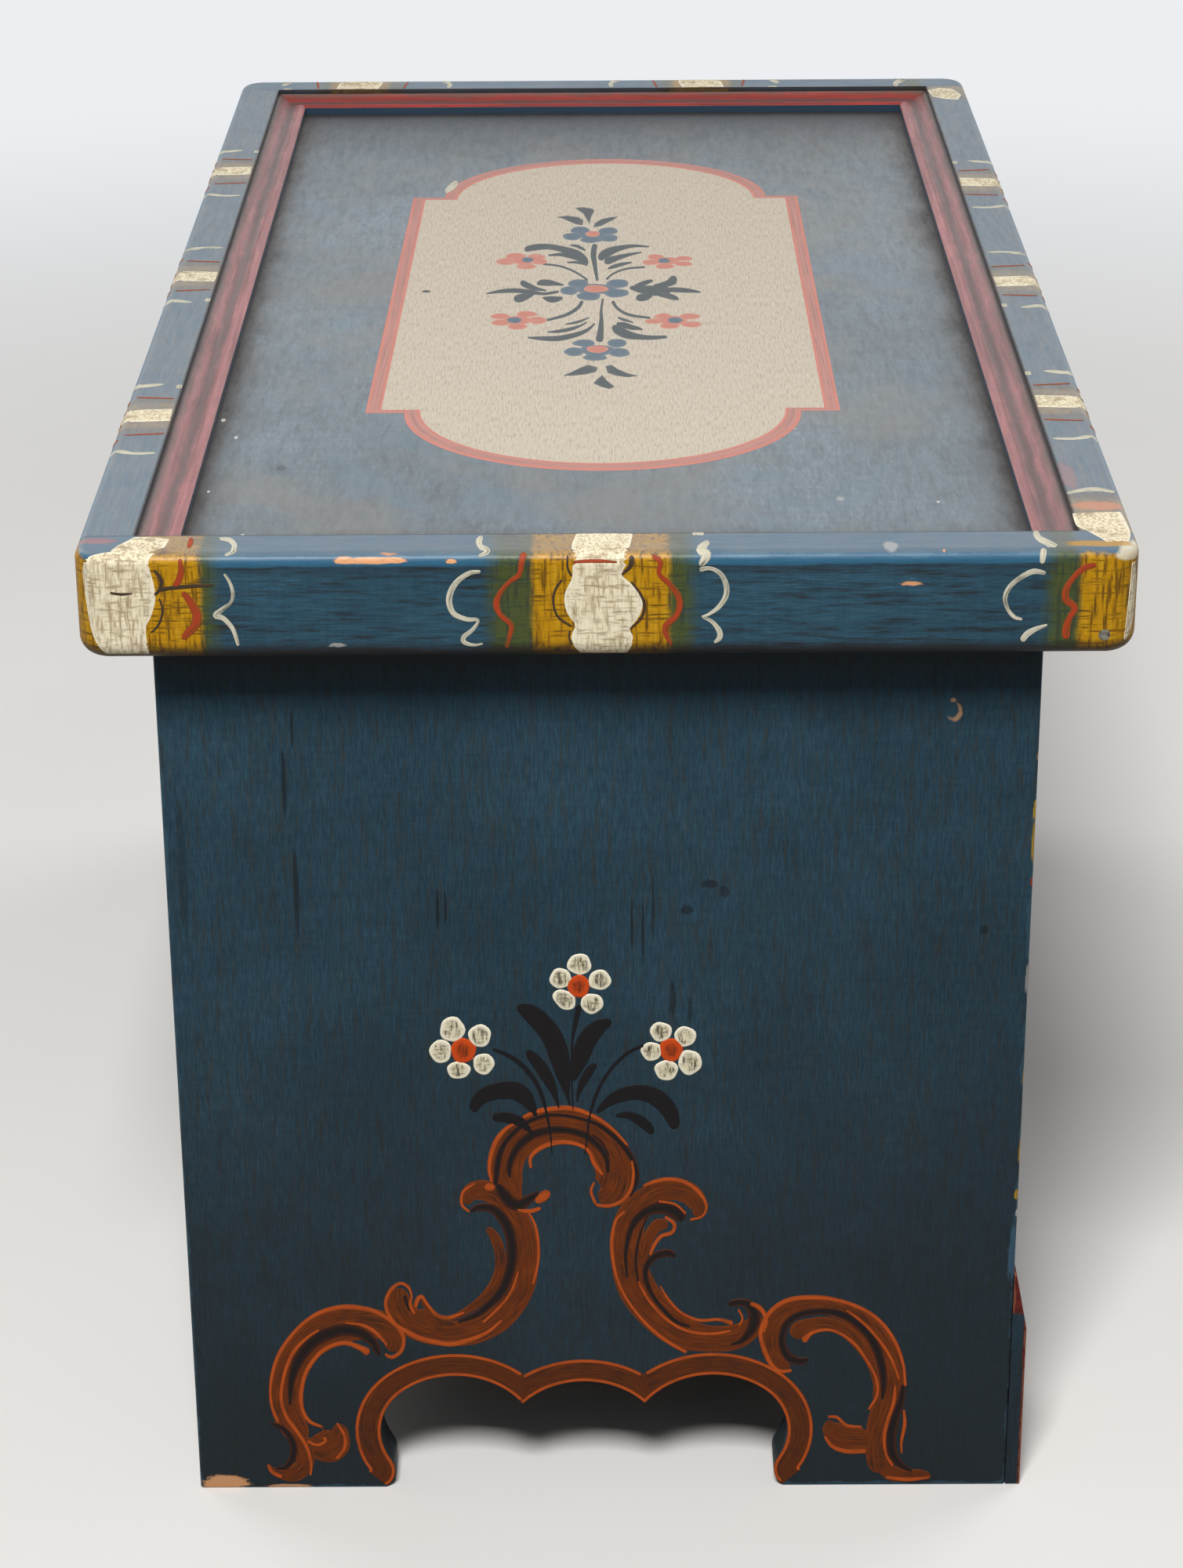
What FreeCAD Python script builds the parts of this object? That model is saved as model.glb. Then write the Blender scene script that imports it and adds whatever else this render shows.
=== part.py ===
# A painted blanket chest: a nailed board carcass on scalloped feet, closed by a panelled cap lid
# that swings on two butt hinges let into the back board.
# Lengths are millimetres and angles degrees. X runs along the chest, its front faces -Y, Z is up.
# The origin lies on the floor under the middle of the lid.
import FreeCAD, Part
import math
import operator
import os
from types import SimpleNamespace
import Sketcher
from FreeCAD import Placement, Rotation, Vector

doc = FreeCAD.newDocument("blanket_chest")
sheet = doc.addObject("Spreadsheet::Sheet", "Sizes")

driving_sizes = (
    ("carcass_length", 814, "outside length of the carcass"),
    ("carcass_depth", 400, "outside depth of the carcass, front face to back edge"),
    ("carcass_height", 474, "floor to the top edges that the lid board rests on"),
    ("end_thickness", 22, "thickness of the end boards"),
    ("front_thickness", 18, "thickness of the front board, which laps the ends"),
    ("back_thickness", 18, "thickness of the back board, let into the ends"),
    ("rabbet_width", 11, "how far each end of the back board is let into an end board"),
    ("back_clearance", 70, "height of the back board's lower edge over the floor"),
    ("board_round", 2, "rounding of the carcass's outer upright edges"),
    ("plinth_height", 120, "height of the plinth that faces the foot of the front"),
    ("plinth_proud", 7, "how far the plinth stands out of the front"),
    ("plinth_bevel", 30, "height of the bevel along the plinth's top"),
    ("plinth_edge", 1.2, "thickness left at the top of the bevel"),
    ("bottom_height", 94, "underside of the bottom boards over the floor"),
    ("bottom_thickness", 16, "thickness of the bottom boards"),
    ("bottom_play", 0.3, "play around and between the bottom boards"),
    ("cleat_size", 22, "side of the square cleats under the bottom boards"),
    ("lobe_height", 22.5, "height of the centre of a side lobe of a foot opening"),
    ("lobe_radius", 42, "radius of a side lobe"),
    ("wall_radius", 30, "radius of the hollow wall beside a foot"),
    ("shoulder_angle", 53, "direction in which the lobe runs into the wall"),
    ("toe_radius", 12, "radius of the rounded toe of a foot"),
    ("toe_height", 9.5, "height of the centre of the toe's round"),
    ("cusp_drop", 16.3, "points between the lobes, below the top of the side lobes"),
    ("arch_rise", 12.8, "top of the middle arch over the points beside it"),
    ("end_cusp_half", 30, "half the distance between the points on an end"),
    ("front_foot", 110, "width of each foot on the front"),
    ("front_overhang", 37, "lid past the carcass at the front"),
    ("back_overhang", 29, "lid past the carcass at the back"),
    ("end_overhang", 33, "lid past the carcass at each end"),
    ("lid_board", 20, "thickness of the lid's board"),
    ("lid_recess", 12, "depth of the field below the top of the lid's edging"),
    ("edging_height", 50, "height of the edging at the front and the ends"),
    ("edging_width", 25, "width of the lid's edging"),
    ("lid_corner", 14, "radius of the lid's corners in plan"),
    ("edging_top_round", 5, "radius along the outer top edge of the edging"),
    ("edging_foot_round", 9, "radius along the outer lower edge of the edging"),
    ("moulding_width", 18, "width of the moulding inside the edging"),
    ("moulding_height", 9.5, "height of the moulding's outer edge over the field"),
    ("moulding_fillet", 2, "flat along the moulding's outer edge"),
    ("moulding_quirk", 5, "height of the low point between hollow and bead"),
    ("moulding_bead", 5, "width of the bead along the moulding's inner edge"),
    ("moulding_nose", 4.4, "height of the moulding's inner face"),
    ("hinge_inset", 120, "end of the carcass to the near end of a hinge"),
    ("hinge_length", 64, "length of a hinge"),
    ("barrel_radius", 4, "outer radius of the knuckles"),
    ("barrel_gap", 0.4, "between the knuckles and the back of the carcass"),
    ("knuckle_gap", 0.4, "between neighbouring knuckles"),
    ("leaf_thickness", 2, "thickness of a leaf"),
    ("leaf_width", 14, "how far a leaf reaches over the back board"),
    ("leaf_play", 0.3, "play around a leaf in its gain"),
    ("pin_radius", 2, "radius of a hinge pin"),
    ("pin_play", 0.05, "running clearance of a pin in the knuckles"),
    ("pin_head_radius", 3.2, "radius of a pin's heads"),
    ("pin_head", 1.4, "thickness of a pin's heads"),
    ("screw_radius", 1.7, "radius of a hinge screw"),
    ("screw_head_radius", 3.2, "radius of a hinge screw's sunk head"),
    ("screw_length", 15, "length of a hinge screw"),
    ("screw_inset", 10, "end of a leaf to its outer screws"),
    ("nail_radius", 1.3, "radius of a nail"),
    ("nail_head_radius", 2.6, "radius of a nail's head"),
    ("nail_head", 1.2, "thickness of a nail's head"),
    ("nail_length", 45, "length of the carcass and lid nails"),
    ("brad_length", 20, "length of the nails that hold the plinth"),
    ("bottom_nail_length", 32, "length of the nails through the bottom boards"),
    ("nail_margin", 35, "first and last nail of a row to the end of its joint"),
    ("plinth_nail_height", 78, "height of the plinth's row of nails"),
    ("corner_nail_height", 10.5, "lid corner nails over the lower edge of the piece they hold"),
    ("corner_nail_inset", 15, "lid corner nails from the front or back of the lid"),
    ("overrun", 2, "how far a cut runs past the face that it opens"),
)
front_nail_rows = 4
plinth_nail_columns = 6
knuckle_count = 5
screw_count = 3
bottom_boards = ("front", "middle", "back")
hollow_share = 0.92  # radius of the moulding's hollow, of its chord
bead_share = 0.68  # radius of the moulding's bead, of its chord
tolerance = 1e-4


class Size:
    """A size of the sheet, or a sum worked out of several, as a number and as a bound formula."""

    def __init__(self, value, text):
        self.value = value
        self.text = text

    def __add__(self, other):
        return combined(self, "+", other)

    def __radd__(self, other):
        return combined(other, "+", self)

    def __sub__(self, other):
        return combined(self, "-", other)

    def __rsub__(self, other):
        return combined(other, "-", self)

    def __mul__(self, other):
        return combined(self, "*", other)

    def __rmul__(self, other):
        return combined(other, "*", self)

    def __truediv__(self, other):
        return combined(self, "/", other)

    def __neg__(self):
        return combined(0, "-", self)


signs = {"+": operator.add, "-": operator.sub, "*": operator.mul, "/": operator.truediv}


def as_size(entry):
    return entry if isinstance(entry, Size) else Size(entry, str(entry))


def combined(left, sign, right):
    left = as_size(left)
    right = as_size(right)
    text = "(%s %s %s)" % (left.text, sign, right.text)
    return Size(signs[sign](left.value, right.value), text)


def root(square):
    return Size(math.sqrt(square.value), "sqrt(%s)" % square.text)


def cosine(angle):
    return Size(math.cos(math.radians(angle.value)), "cos(%s * 1 deg)" % angle.text)


def sine(angle):
    return Size(math.sin(math.radians(angle.value)), "sin(%s * 1 deg)" % angle.text)


def fill_sheet():
    entries = {}
    for row, (name, value, meaning) in enumerate(driving_sizes, start=1):
        sheet.set("A%d" % row, meaning)
        sheet.set("B%d" % row, str(value))
        sheet.setAlias("B%d" % row, name)
        entries[name] = Size(value, "Sizes." + name)
    doc.recompute()
    return SimpleNamespace(**entries)


sizes = fill_sheet()

# Main planes of the chest, all worked out from the sheet.
lid_depth = sizes.carcass_depth + sizes.front_overhang + sizes.back_overhang
lid_length = sizes.carcass_length + sizes.end_overhang * 2
half_lid_length = lid_length / 2
half_lid_depth = lid_depth / 2
half_length = sizes.carcass_length / 2
half_inside = half_length - sizes.end_thickness
front_face = sizes.front_overhang - half_lid_depth
front_inside = front_face + sizes.front_thickness
back_face = half_lid_depth - sizes.back_overhang
back_inside = back_face - sizes.back_thickness
end_middle = (front_inside + back_face) / 2
field_top = sizes.carcass_height + sizes.lid_board
lid_top = field_top + sizes.lid_recess
edging_foot = lid_top - sizes.edging_height
half_board_length = half_lid_length - sizes.edging_width
half_board_depth = half_lid_depth - sizes.edging_width
hinge_axis_y = back_face + sizes.barrel_radius + sizes.barrel_gap
hinge_axis_z = sizes.carcass_height - sizes.barrel_radius


def bind(thing, name, size):
    thing.setExpression(name, as_size(size).text)


def place(thing, x, y, z, turn=0):
    """Puts an object's own origin at a point, turned about the vertical by whole degrees."""
    thing.Placement = Placement(Vector(0, 0, 0), Rotation(Vector(0, 0, 1), turn))
    for axis, size in (("x", x), ("y", y), ("z", z)):
        bind(thing, "Placement.Base." + axis, size)


def block(name, low, high):
    """A rectangular block between two opposite corners, each a triple of sizes."""
    box = doc.addObject("Part::Box", name)
    for dimension, start, end in zip(("Length", "Width", "Height"), low, high):
        bind(box, dimension, as_size(end) - start)
    place(box, *low)
    return box


def cut(name, base, *tools):
    """Cuts a blank by each tool in turn. The last cut carries the piece's name."""
    for number, tool in enumerate(tools, start=1):
        step = name if number == len(tools) else "%s_cut_%d" % (name, number)
        piece = doc.addObject("Part::Cut", step)
        piece.Base = base
        piece.Tool = tool
        base = piece
    return base


def new_body(name):
    return doc.addObject("PartDesign::Body", name)


def sketch_on(body, role, name):
    plane = next(item for item in body.Origin.OriginFeatures if item.Role == role)
    sketch = body.newObject("Sketcher::SketchObject", name)
    sketch.AttachmentSupport = [(plane, "")]
    sketch.MapMode = "FlatFace"
    return sketch


def fix_point(sketch, element, point, x, y):
    """Holds a point of a sketch at two bound distances from the sketch's origin."""
    for kind, axis, size in (("DistanceX", -2, x), ("DistanceY", -1, y)):
        size = as_size(size)
        if size.text == "0":
            sketch.addConstraint(Sketcher.Constraint("PointOnObject", element, point, axis))
            continue
        number = sketch.addConstraint(
            Sketcher.Constraint(kind, -1, 1, element, point, size.value))
        bind(sketch, "Constraints[%d]" % number, size)


def arc_between(start, end, radius, turn):
    """The short arc from start to end, turning left for turn 1 and right for turn -1."""
    half_chord = (end - start) * (1 / 2)
    rise = math.sqrt(radius ** 2 - half_chord.Length ** 2)
    across = Vector(-half_chord.y, half_chord.x, 0).normalize()
    centre = start + half_chord + across * rise * turn
    first, last = (start, end) if turn > 0 else (end, start)
    first_angle = math.atan2(first.y - centre.y, first.x - centre.x)
    last_angle = math.atan2(last.y - centre.y, last.x - centre.x)
    if last_angle < first_angle:
        last_angle += 2 * math.pi
    circle = Part.Circle(centre, Vector(0, 0, 1), radius)
    return Part.ArcOfCircle(circle, first_angle, last_angle)


def outline(sketch, corners):
    """A closed outline. A corner is (x, y), or (x, y, radius, turn) where an arc leads on from it."""
    points = [Vector(as_size(corner[0]).value, as_size(corner[1]).value, 0) for corner in corners]
    elements = []
    for corner, start, end in zip(corners, points, points[1:] + points[:1]):
        if len(corner) == 2:
            elements.append((sketch.addGeometry(Part.LineSegment(start, end)), 1, 2))
            continue
        radius, turn = corner[2:]
        number = sketch.addGeometry(arc_between(start, end, radius.value, turn))
        elements.append((number, 1, 2) if turn > 0 else (number, 2, 1))
        limit = sketch.addConstraint(Sketcher.Constraint("Radius", number, radius.value))
        bind(sketch, "Constraints[%d]" % limit, radius)
    for before, after, corner in zip(elements[-1:] + elements[:-1], elements, corners):
        sketch.addConstraint(
            Sketcher.Constraint("Coincident", before[0], before[2], after[0], after[1]))
        fix_point(sketch, after[0], after[1], corner[0], corner[1])


def round_hole(sketch, x, y, radius):
    centre = Vector(as_size(x).value, as_size(y).value, 0)
    number = sketch.addGeometry(Part.Circle(centre, Vector(0, 0, 1), radius.value))
    limit = sketch.addConstraint(Sketcher.Constraint("Radius", number, radius.value))
    bind(sketch, "Constraints[%d]" % limit, radius)
    fix_point(sketch, number, 3, x, y)


def extrude(body, sketch, kind, length, reverse=False):
    """Pads a sketch along its normal or pockets against it, the other way round when reversed."""
    feature = body.newObject("PartDesign::" + kind, sketch.Name + kind)
    feature.Profile = sketch
    feature.Reversed = reverse
    bind(feature, "Length", length)
    before = body.Shape.Volume if kind == "Pocket" else 0
    doc.recompute()
    if kind == "Pocket" and body.Shape.Volume >= before:
        raise ValueError(sketch.Name + " cuts nothing")
    return feature


def is_near(value, target):
    return abs(value - target) < tolerance


def round_edges(body, base, radius, chosen):
    """Rounds the edges of a feature whose bounds pass a test."""
    names = ["Edge%d" % number for number, edge in enumerate(base.Shape.Edges, start=1)
             if chosen(edge.BoundBox)]
    fillet = body.newObject("PartDesign::Fillet", base.Name + "Round")
    fillet.Base = (base, names)
    bind(fillet, "Radius", radius)
    doc.recompute()
    return fillet


def lobe_places():
    """Places of a side lobe from its cusp outwards: its arcs, wall and toe are tangent in turn."""
    cusp_rise = sizes.lobe_radius - sizes.cusp_drop
    lobe_x = root(sizes.lobe_radius * sizes.lobe_radius - cusp_rise * cusp_rise)
    cos_shoulder = cosine(sizes.shoulder_angle)
    sin_shoulder = sine(sizes.shoulder_angle)
    step = sizes.lobe_radius - sizes.wall_radius
    wall_x = lobe_x + step * cos_shoulder
    wall_z = sizes.lobe_height + step * sin_shoulder
    reach = sizes.wall_radius + sizes.toe_radius
    toe_drop = wall_z - sizes.toe_height
    toe_x = wall_x + root(reach * reach - toe_drop * toe_drop)
    toe_foot = root(sizes.toe_radius * sizes.toe_radius - sizes.toe_height * sizes.toe_height)
    wall_part = sizes.wall_radius / reach
    return SimpleNamespace(
        cusp_z=sizes.lobe_height + cusp_rise,
        shoulder_x=lobe_x + sizes.lobe_radius * cos_shoulder,
        shoulder_z=sizes.lobe_height + sizes.lobe_radius * sin_shoulder,
        ankle_x=wall_x + (toe_x - wall_x) * wall_part,
        ankle_z=wall_z - toe_drop * wall_part,
        floor_x=toe_x - toe_foot,
        wall_reach=wall_x + sizes.wall_radius)


def foot_opening(cusp_half):
    """The scalloped edge of a foot opening, from its left toe on the floor to its right toe."""
    lobe = lobe_places()
    floor = cusp_half + lobe.floor_x
    ankle = cusp_half + lobe.ankle_x
    shoulder = cusp_half + lobe.shoulder_x
    rise = sizes.arch_rise
    arch_radius = (cusp_half * cusp_half + rise * rise) / (rise * 2)
    return [
        (-floor, 0, sizes.toe_radius, 1),
        (-ankle, lobe.ankle_z, sizes.wall_radius, -1),
        (-shoulder, lobe.shoulder_z, sizes.lobe_radius, -1),
        (-cusp_half, lobe.cusp_z, arch_radius, -1),
        (cusp_half, lobe.cusp_z, sizes.lobe_radius, -1),
        (shoulder, lobe.shoulder_z, sizes.wall_radius, -1),
        (ankle, lobe.ankle_z, sizes.toe_radius, 1),
        (floor, 0),
    ]


front_cusp_half = half_length - sizes.front_foot - lobe_places().wall_reach


def board_on_feet(half_width, height, cusp_half):
    """An upright board's outline with a foot opening in the middle of its lower edge."""
    corners = [(-half_width, 0)]
    corners += foot_opening(cusp_half)
    corners += [(half_width, 0), (half_width, height), (-half_width, height)]
    return corners


def end_board(name, side):
    """An end of the carcass, padded from its outer face inwards."""
    body = new_body(name + "_blank")
    sketch = sketch_on(body, "YZ_Plane", name + "_outline")
    half_width = (sizes.carcass_depth - sizes.front_thickness) / 2
    outline(sketch, board_on_feet(half_width, sizes.carcass_height, sizes.end_cusp_half))
    pad = extrude(body, sketch, "Pad", sizes.end_thickness, side > 0)
    back = half_width.value
    round_edges(body, pad, sizes.board_round,
                lambda edge: is_near(edge.YMin, back) and is_near(abs(edge.XMin) + abs(edge.XMax), 0))
    place(body, half_length * side, end_middle, 0)
    return body


def front_board():
    body = new_body("front_panel_blank")
    sketch = sketch_on(body, "XZ_Plane", "front_outline")
    outline(sketch, board_on_feet(half_length, sizes.carcass_height, front_cusp_half))
    pad = extrude(body, sketch, "Pad", sizes.front_thickness)
    face = -sizes.front_thickness.value
    end = half_length.value
    round_edges(body, pad, sizes.board_round,
                lambda edge: is_near(edge.YMax, face)
                and (is_near(edge.XMin, end) or is_near(edge.XMax, -end)))
    place(body, 0, front_inside, 0)
    return body


def plinth_board():
    """The plinth: its bevelled section run along the front, then opened like the board behind it."""
    body = new_body("front_plinth_blank")
    section = sketch_on(body, "YZ_Plane", "plinth_section")
    outline(section, [
        (0, 0),
        (0, sizes.plinth_height),
        (-sizes.plinth_edge, sizes.plinth_height),
        (-sizes.plinth_proud, sizes.plinth_height - sizes.plinth_bevel),
        (-sizes.plinth_proud, 0),
    ])
    extrude(body, section, "Pad", sizes.carcass_length)
    opening = sketch_on(body, "XZ_Plane", "plinth_opening")
    corners = [(half_length + x, z, *arc) for x, z, *arc in foot_opening(front_cusp_half)]
    corners.append((corners[-1][0], -sizes.overrun))
    corners.append((corners[0][0], -sizes.overrun))
    outline(opening, corners)
    extrude(body, opening, "Pocket", sizes.plinth_proud + sizes.overrun, True)
    place(body, -half_length, front_face, 0)
    return body


def end_edging(name, side):
    """An edging bar across an end of the lid, with the lid's two corners on it."""
    body = new_body(name + "_blank")
    width = sizes.edging_width
    corner = sizes.lid_corner
    plan = sketch_on(body, "XY_Plane", name + "_plan")
    outline(plan, [
        (-half_lid_depth, 0),
        (-half_lid_depth, corner - width, corner, 1),
        (corner - half_lid_depth, -width),
        (half_lid_depth - corner, -width, corner, 1),
        (half_lid_depth, corner - width),
        (half_lid_depth, 0),
    ])
    bar = extrude(body, plan, "Pad", sizes.edging_height)
    height = sizes.edging_height.value
    top = round_edges(body, bar, sizes.edging_top_round,
                      lambda edge: is_near(edge.ZMin, height) and edge.YMin < -tolerance)
    round_edges(body, top, sizes.edging_foot_round,
                lambda edge: is_near(edge.ZMax, 0) and edge.YMin < -tolerance)
    place(body, half_board_length * side, 0, edging_foot, 90 * side)
    return body


def long_edging(name, side, foot):
    """An edging bar along the front or the back of the lid, between the two end bars."""
    body = new_body(name + "_blank")
    width = sizes.edging_width
    height = lid_top - foot
    top = sizes.edging_top_round
    low = sizes.edging_foot_round
    section = sketch_on(body, "YZ_Plane", name + "_section")
    outline(section, [
        (0, 0),
        (0, height),
        (top - width, height, top, 1),
        (-width, height - top),
        (-width, low, low, 1),
        (low - width, 0),
    ])
    extrude(body, section, "Pad", half_board_length * 2)
    turn = 0 if side < 0 else 180
    place(body, half_board_length * side, half_board_depth * side, foot, turn)
    return body


def moulding(name, x, y, turn, length):
    """A strip of the lid's inner moulding, mitred at both ends. It starts at a corner of the field,
    runs along its own X and reaches inwards along its own Y."""
    body = new_body(name)
    width = sizes.moulding_width
    bead_start = width - sizes.moulding_bead
    hollow_run = bead_start - sizes.moulding_fillet
    hollow_drop = sizes.moulding_height - sizes.moulding_quirk
    bead_drop = sizes.moulding_quirk - sizes.moulding_nose
    hollow = root(hollow_run * hollow_run + hollow_drop * hollow_drop) * hollow_share
    bead = root(sizes.moulding_bead * sizes.moulding_bead + bead_drop * bead_drop) * bead_share
    section = sketch_on(body, "YZ_Plane", name + "_section")
    outline(section, [
        (0, 0),
        (width, 0),
        (width, sizes.moulding_nose, bead, 1),
        (bead_start, sizes.moulding_quirk, hollow, -1),
        (sizes.moulding_fillet, sizes.moulding_height),
        (0, sizes.moulding_height),
    ])
    extrude(body, section, "Pad", length)
    mitres = sketch_on(body, "XY_Plane", name + "_mitres")
    outline(mitres, [(0, 0), (width + sizes.overrun, width + sizes.overrun),
                     (0, width + sizes.overrun)])
    outline(mitres, [(length, 0), (length, width + sizes.overrun),
                     (length - width - sizes.overrun, width + sizes.overrun)])
    extrude(body, mitres, "Pocket", sizes.moulding_height, True)
    place(body, x, y, field_top, turn)
    return body


def hinge_leaf(name, start, is_upper, kept):
    """A leaf with the knuckles that it keeps. Its own X axis is the pin's, from the hinge's end."""
    body = new_body(name)
    length = sizes.hinge_length
    radius = sizes.barrel_radius
    thickness = sizes.leaf_thickness
    reach = radius + sizes.barrel_gap + sizes.leaf_width
    low = radius - thickness if is_upper else -radius
    high = low + thickness
    plate = sketch_on(body, "YZ_Plane", name + "_plate")
    outline(plate, [(-reach, low), (0, low), (0, high), (-reach, high)])
    extrude(body, plate, "Pad", length)
    barrel = sketch_on(body, "YZ_Plane", name + "_barrel")
    round_hole(barrel, 0, 0, radius)
    extrude(body, barrel, "Pad", length)
    bore = sketch_on(body, "YZ_Plane", name + "_bore")
    round_hole(bore, 0, 0, sizes.pin_radius + sizes.pin_play)
    extrude(body, bore, "Pocket", length, True)
    gaps = sketch_on(body, "XY_Plane", name + "_gaps")
    bind(gaps, "AttachmentOffset.Base.z", radius + sizes.overrun)
    pitch = length / knuckle_count
    room = sizes.knuckle_gap / 2
    inner = -radius - sizes.knuckle_gap
    outer = radius + sizes.overrun
    for number in set(range(knuckle_count)) - set(kept):
        first = -sizes.overrun if number == 0 else pitch * number - room
        last = length + sizes.overrun if number == knuckle_count - 1 else pitch * (number + 1) + room
        outline(gaps, [(first, inner), (last, inner), (last, outer), (first, outer)])
    extrude(body, gaps, "Pocket", (radius + sizes.overrun) * 2)
    holes = sketch_on(body, "XY_Plane", name + "_holes")
    bind(holes, "AttachmentOffset.Base.z", high + sizes.overrun)
    row = sizes.leaf_width / 2 - reach
    for x in even_places(sizes.screw_inset, length - sizes.screw_inset, screw_count):
        round_hole(holes, x, row, sizes.screw_radius)
    drilled = extrude(body, holes, "Pocket", thickness + sizes.overrun * 2)
    face = low if is_upper else high
    sink = body.newObject("PartDesign::Chamfer", name + "_sinks")
    sink.Base = (drilled, rim_names(drilled, face.value, sizes.screw_radius.value))
    bind(sink, "Size", sizes.screw_head_radius - sizes.screw_radius)
    place(body, start, hinge_axis_y, hinge_axis_z)
    return body


def rim_names(feature, level, radius):
    """The round edges of one radius that lie level at a height."""
    names = []
    for number, edge in enumerate(feature.Shape.Edges, start=1):
        if not isinstance(edge.Curve, Part.Circle):
            continue
        bounds = edge.BoundBox
        level_edge = is_near(bounds.ZMin, level) and is_near(bounds.ZMax, level)
        if level_edge and is_near(edge.Curve.Radius, radius):
            names.append("Edge%d" % number)
    return names


def hinge_pin(name, start):
    """A pin that runs through all the knuckles, with a head against each end of the barrel."""
    body = new_body(name)
    shaft = sketch_on(body, "YZ_Plane", name + "_shaft")
    round_hole(shaft, 0, 0, sizes.pin_radius)
    extrude(body, shaft, "Pad", sizes.hinge_length)
    near = sketch_on(body, "YZ_Plane", name + "_near_head")
    round_hole(near, 0, 0, sizes.pin_head_radius)
    extrude(body, near, "Pad", sizes.pin_head, True)
    far = sketch_on(body, "YZ_Plane", name + "_far_head")
    bind(far, "AttachmentOffset.Base.z", sizes.hinge_length)
    round_hole(far, 0, 0, sizes.pin_head_radius)
    extrude(body, far, "Pad", sizes.pin_head)
    place(body, start, hinge_axis_y, hinge_axis_z)
    return body


def nail_shape(length):
    """A nail that points down from the middle of its head's top."""
    head = sizes.nail_head.value
    shank = Part.makeCylinder(sizes.nail_radius.value, length.value, Vector(0, 0, -length.value))
    flat = Part.makeCylinder(sizes.nail_head_radius.value, head, Vector(0, 0, -head))
    return shank.fuse(flat).removeSplitter()


def screw_shape():
    """A hinge screw that points down from the flat top of its sunk head."""
    head = sizes.screw_head_radius.value
    shank = sizes.screw_radius.value
    sink = head - shank
    length = sizes.screw_length.value
    stem = Part.makeCylinder(shank, length, Vector(0, 0, -length))
    cone = Part.makeCone(shank, head, sink, Vector(0, 0, -sink))
    return stem.fuse(cone).removeSplitter()


def fastener_group(name, shape, drives):
    """Separate copies of one fastener, each at a point and driven in a direction."""
    copies = []
    for point, direction in drives:
        copy = shape.copy()
        spot = Vector(*(as_size(size).value for size in point))
        copy.Placement = Placement(spot, Rotation(Vector(0, 0, -1), Vector(*direction)))
        copies.append(copy)
    group = doc.addObject("Part::Feature", name)
    group.Shape = Part.makeCompound(copies)
    return group


def even_places(start, end, count):
    """Evenly spaced places from start to end, both included."""
    return [start + (end - start) * step / (count - 1) for step in range(count)]


def carcass_fasteners():
    """Rows of nails down both ends of the front and the back, and along the plinth."""
    rows = even_places(sizes.plinth_height + sizes.nail_margin,
                       sizes.carcass_height - sizes.nail_margin, front_nail_rows)
    columns = even_places(sizes.nail_margin - half_length,
                          half_length - sizes.nail_margin, plinth_nail_columns)
    front_column = half_length - sizes.end_thickness / 2
    back_column = half_inside + sizes.rabbet_width / 2
    nail = nail_shape(sizes.nail_length)
    front = [((front_column * side, front_face, z), (0, 1, 0)) for side in (-1, 1) for z in rows]
    back = [((back_column * side, back_face, z), (0, -1, 0)) for side in (-1, 1) for z in rows]
    plinth_face = front_face - sizes.plinth_proud
    plinth = [((x, plinth_face, sizes.plinth_nail_height), (0, 1, 0)) for x in columns]
    return (fastener_group("front_nails", nail, front),
            fastener_group("back_nails", nail, back),
            fastener_group("plinth_nails", nail_shape(sizes.brad_length), plinth))


def build_carcass():
    front_nails, back_nails, plinth_nails = carcass_fasteners()
    back = block("back_panel_blank",
                 (-half_inside - sizes.rabbet_width, back_inside, sizes.back_clearance),
                 (half_inside + sizes.rabbet_width, back_face, sizes.carcass_height))
    for name, side in (("left_end_panel", -1), ("right_end_panel", 1)):
        cut(name, end_board(name, side), back, front_nails, back_nails)
    cut("front_panel", front_board(), front_nails, plinth_nails)
    cut("front_plinth", plinth_board(), plinth_nails)
    gains = []
    for name, start in hinge_starts:
        gains.append(block(
            name + "_gain",
            (start - sizes.leaf_play, back_face - sizes.leaf_width - sizes.leaf_play,
             sizes.carcass_height - sizes.barrel_radius * 2),
            (start + sizes.hinge_length + sizes.leaf_play, back_face + sizes.overrun,
             sizes.carcass_height + sizes.overrun)))
    leaf_top = hinge_axis_z - sizes.barrel_radius + sizes.leaf_thickness
    screws = fastener_group("case_leaf_screws", screw_shape(), screw_drives(leaf_top, -1))
    cut("back_panel", back, *gains, screws, back_nails)
    for name, start in hinge_starts:
        hinge_leaf(name + "_case_leaf", start, False, (0, 2, 4))
        hinge_pin(name + "_pin", start)
    build_bottom()


def screw_drives(height, way):
    """Where the screws of both hinges sit, at one height, driven up or down."""
    row = back_face - sizes.leaf_width / 2
    drives = []
    for name, start in hinge_starts:
        end = start + sizes.hinge_length - sizes.screw_inset
        for x in even_places(start + sizes.screw_inset, end, screw_count):
            drives.append(((x, row, height), (0, 0, way)))
    return drives


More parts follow.
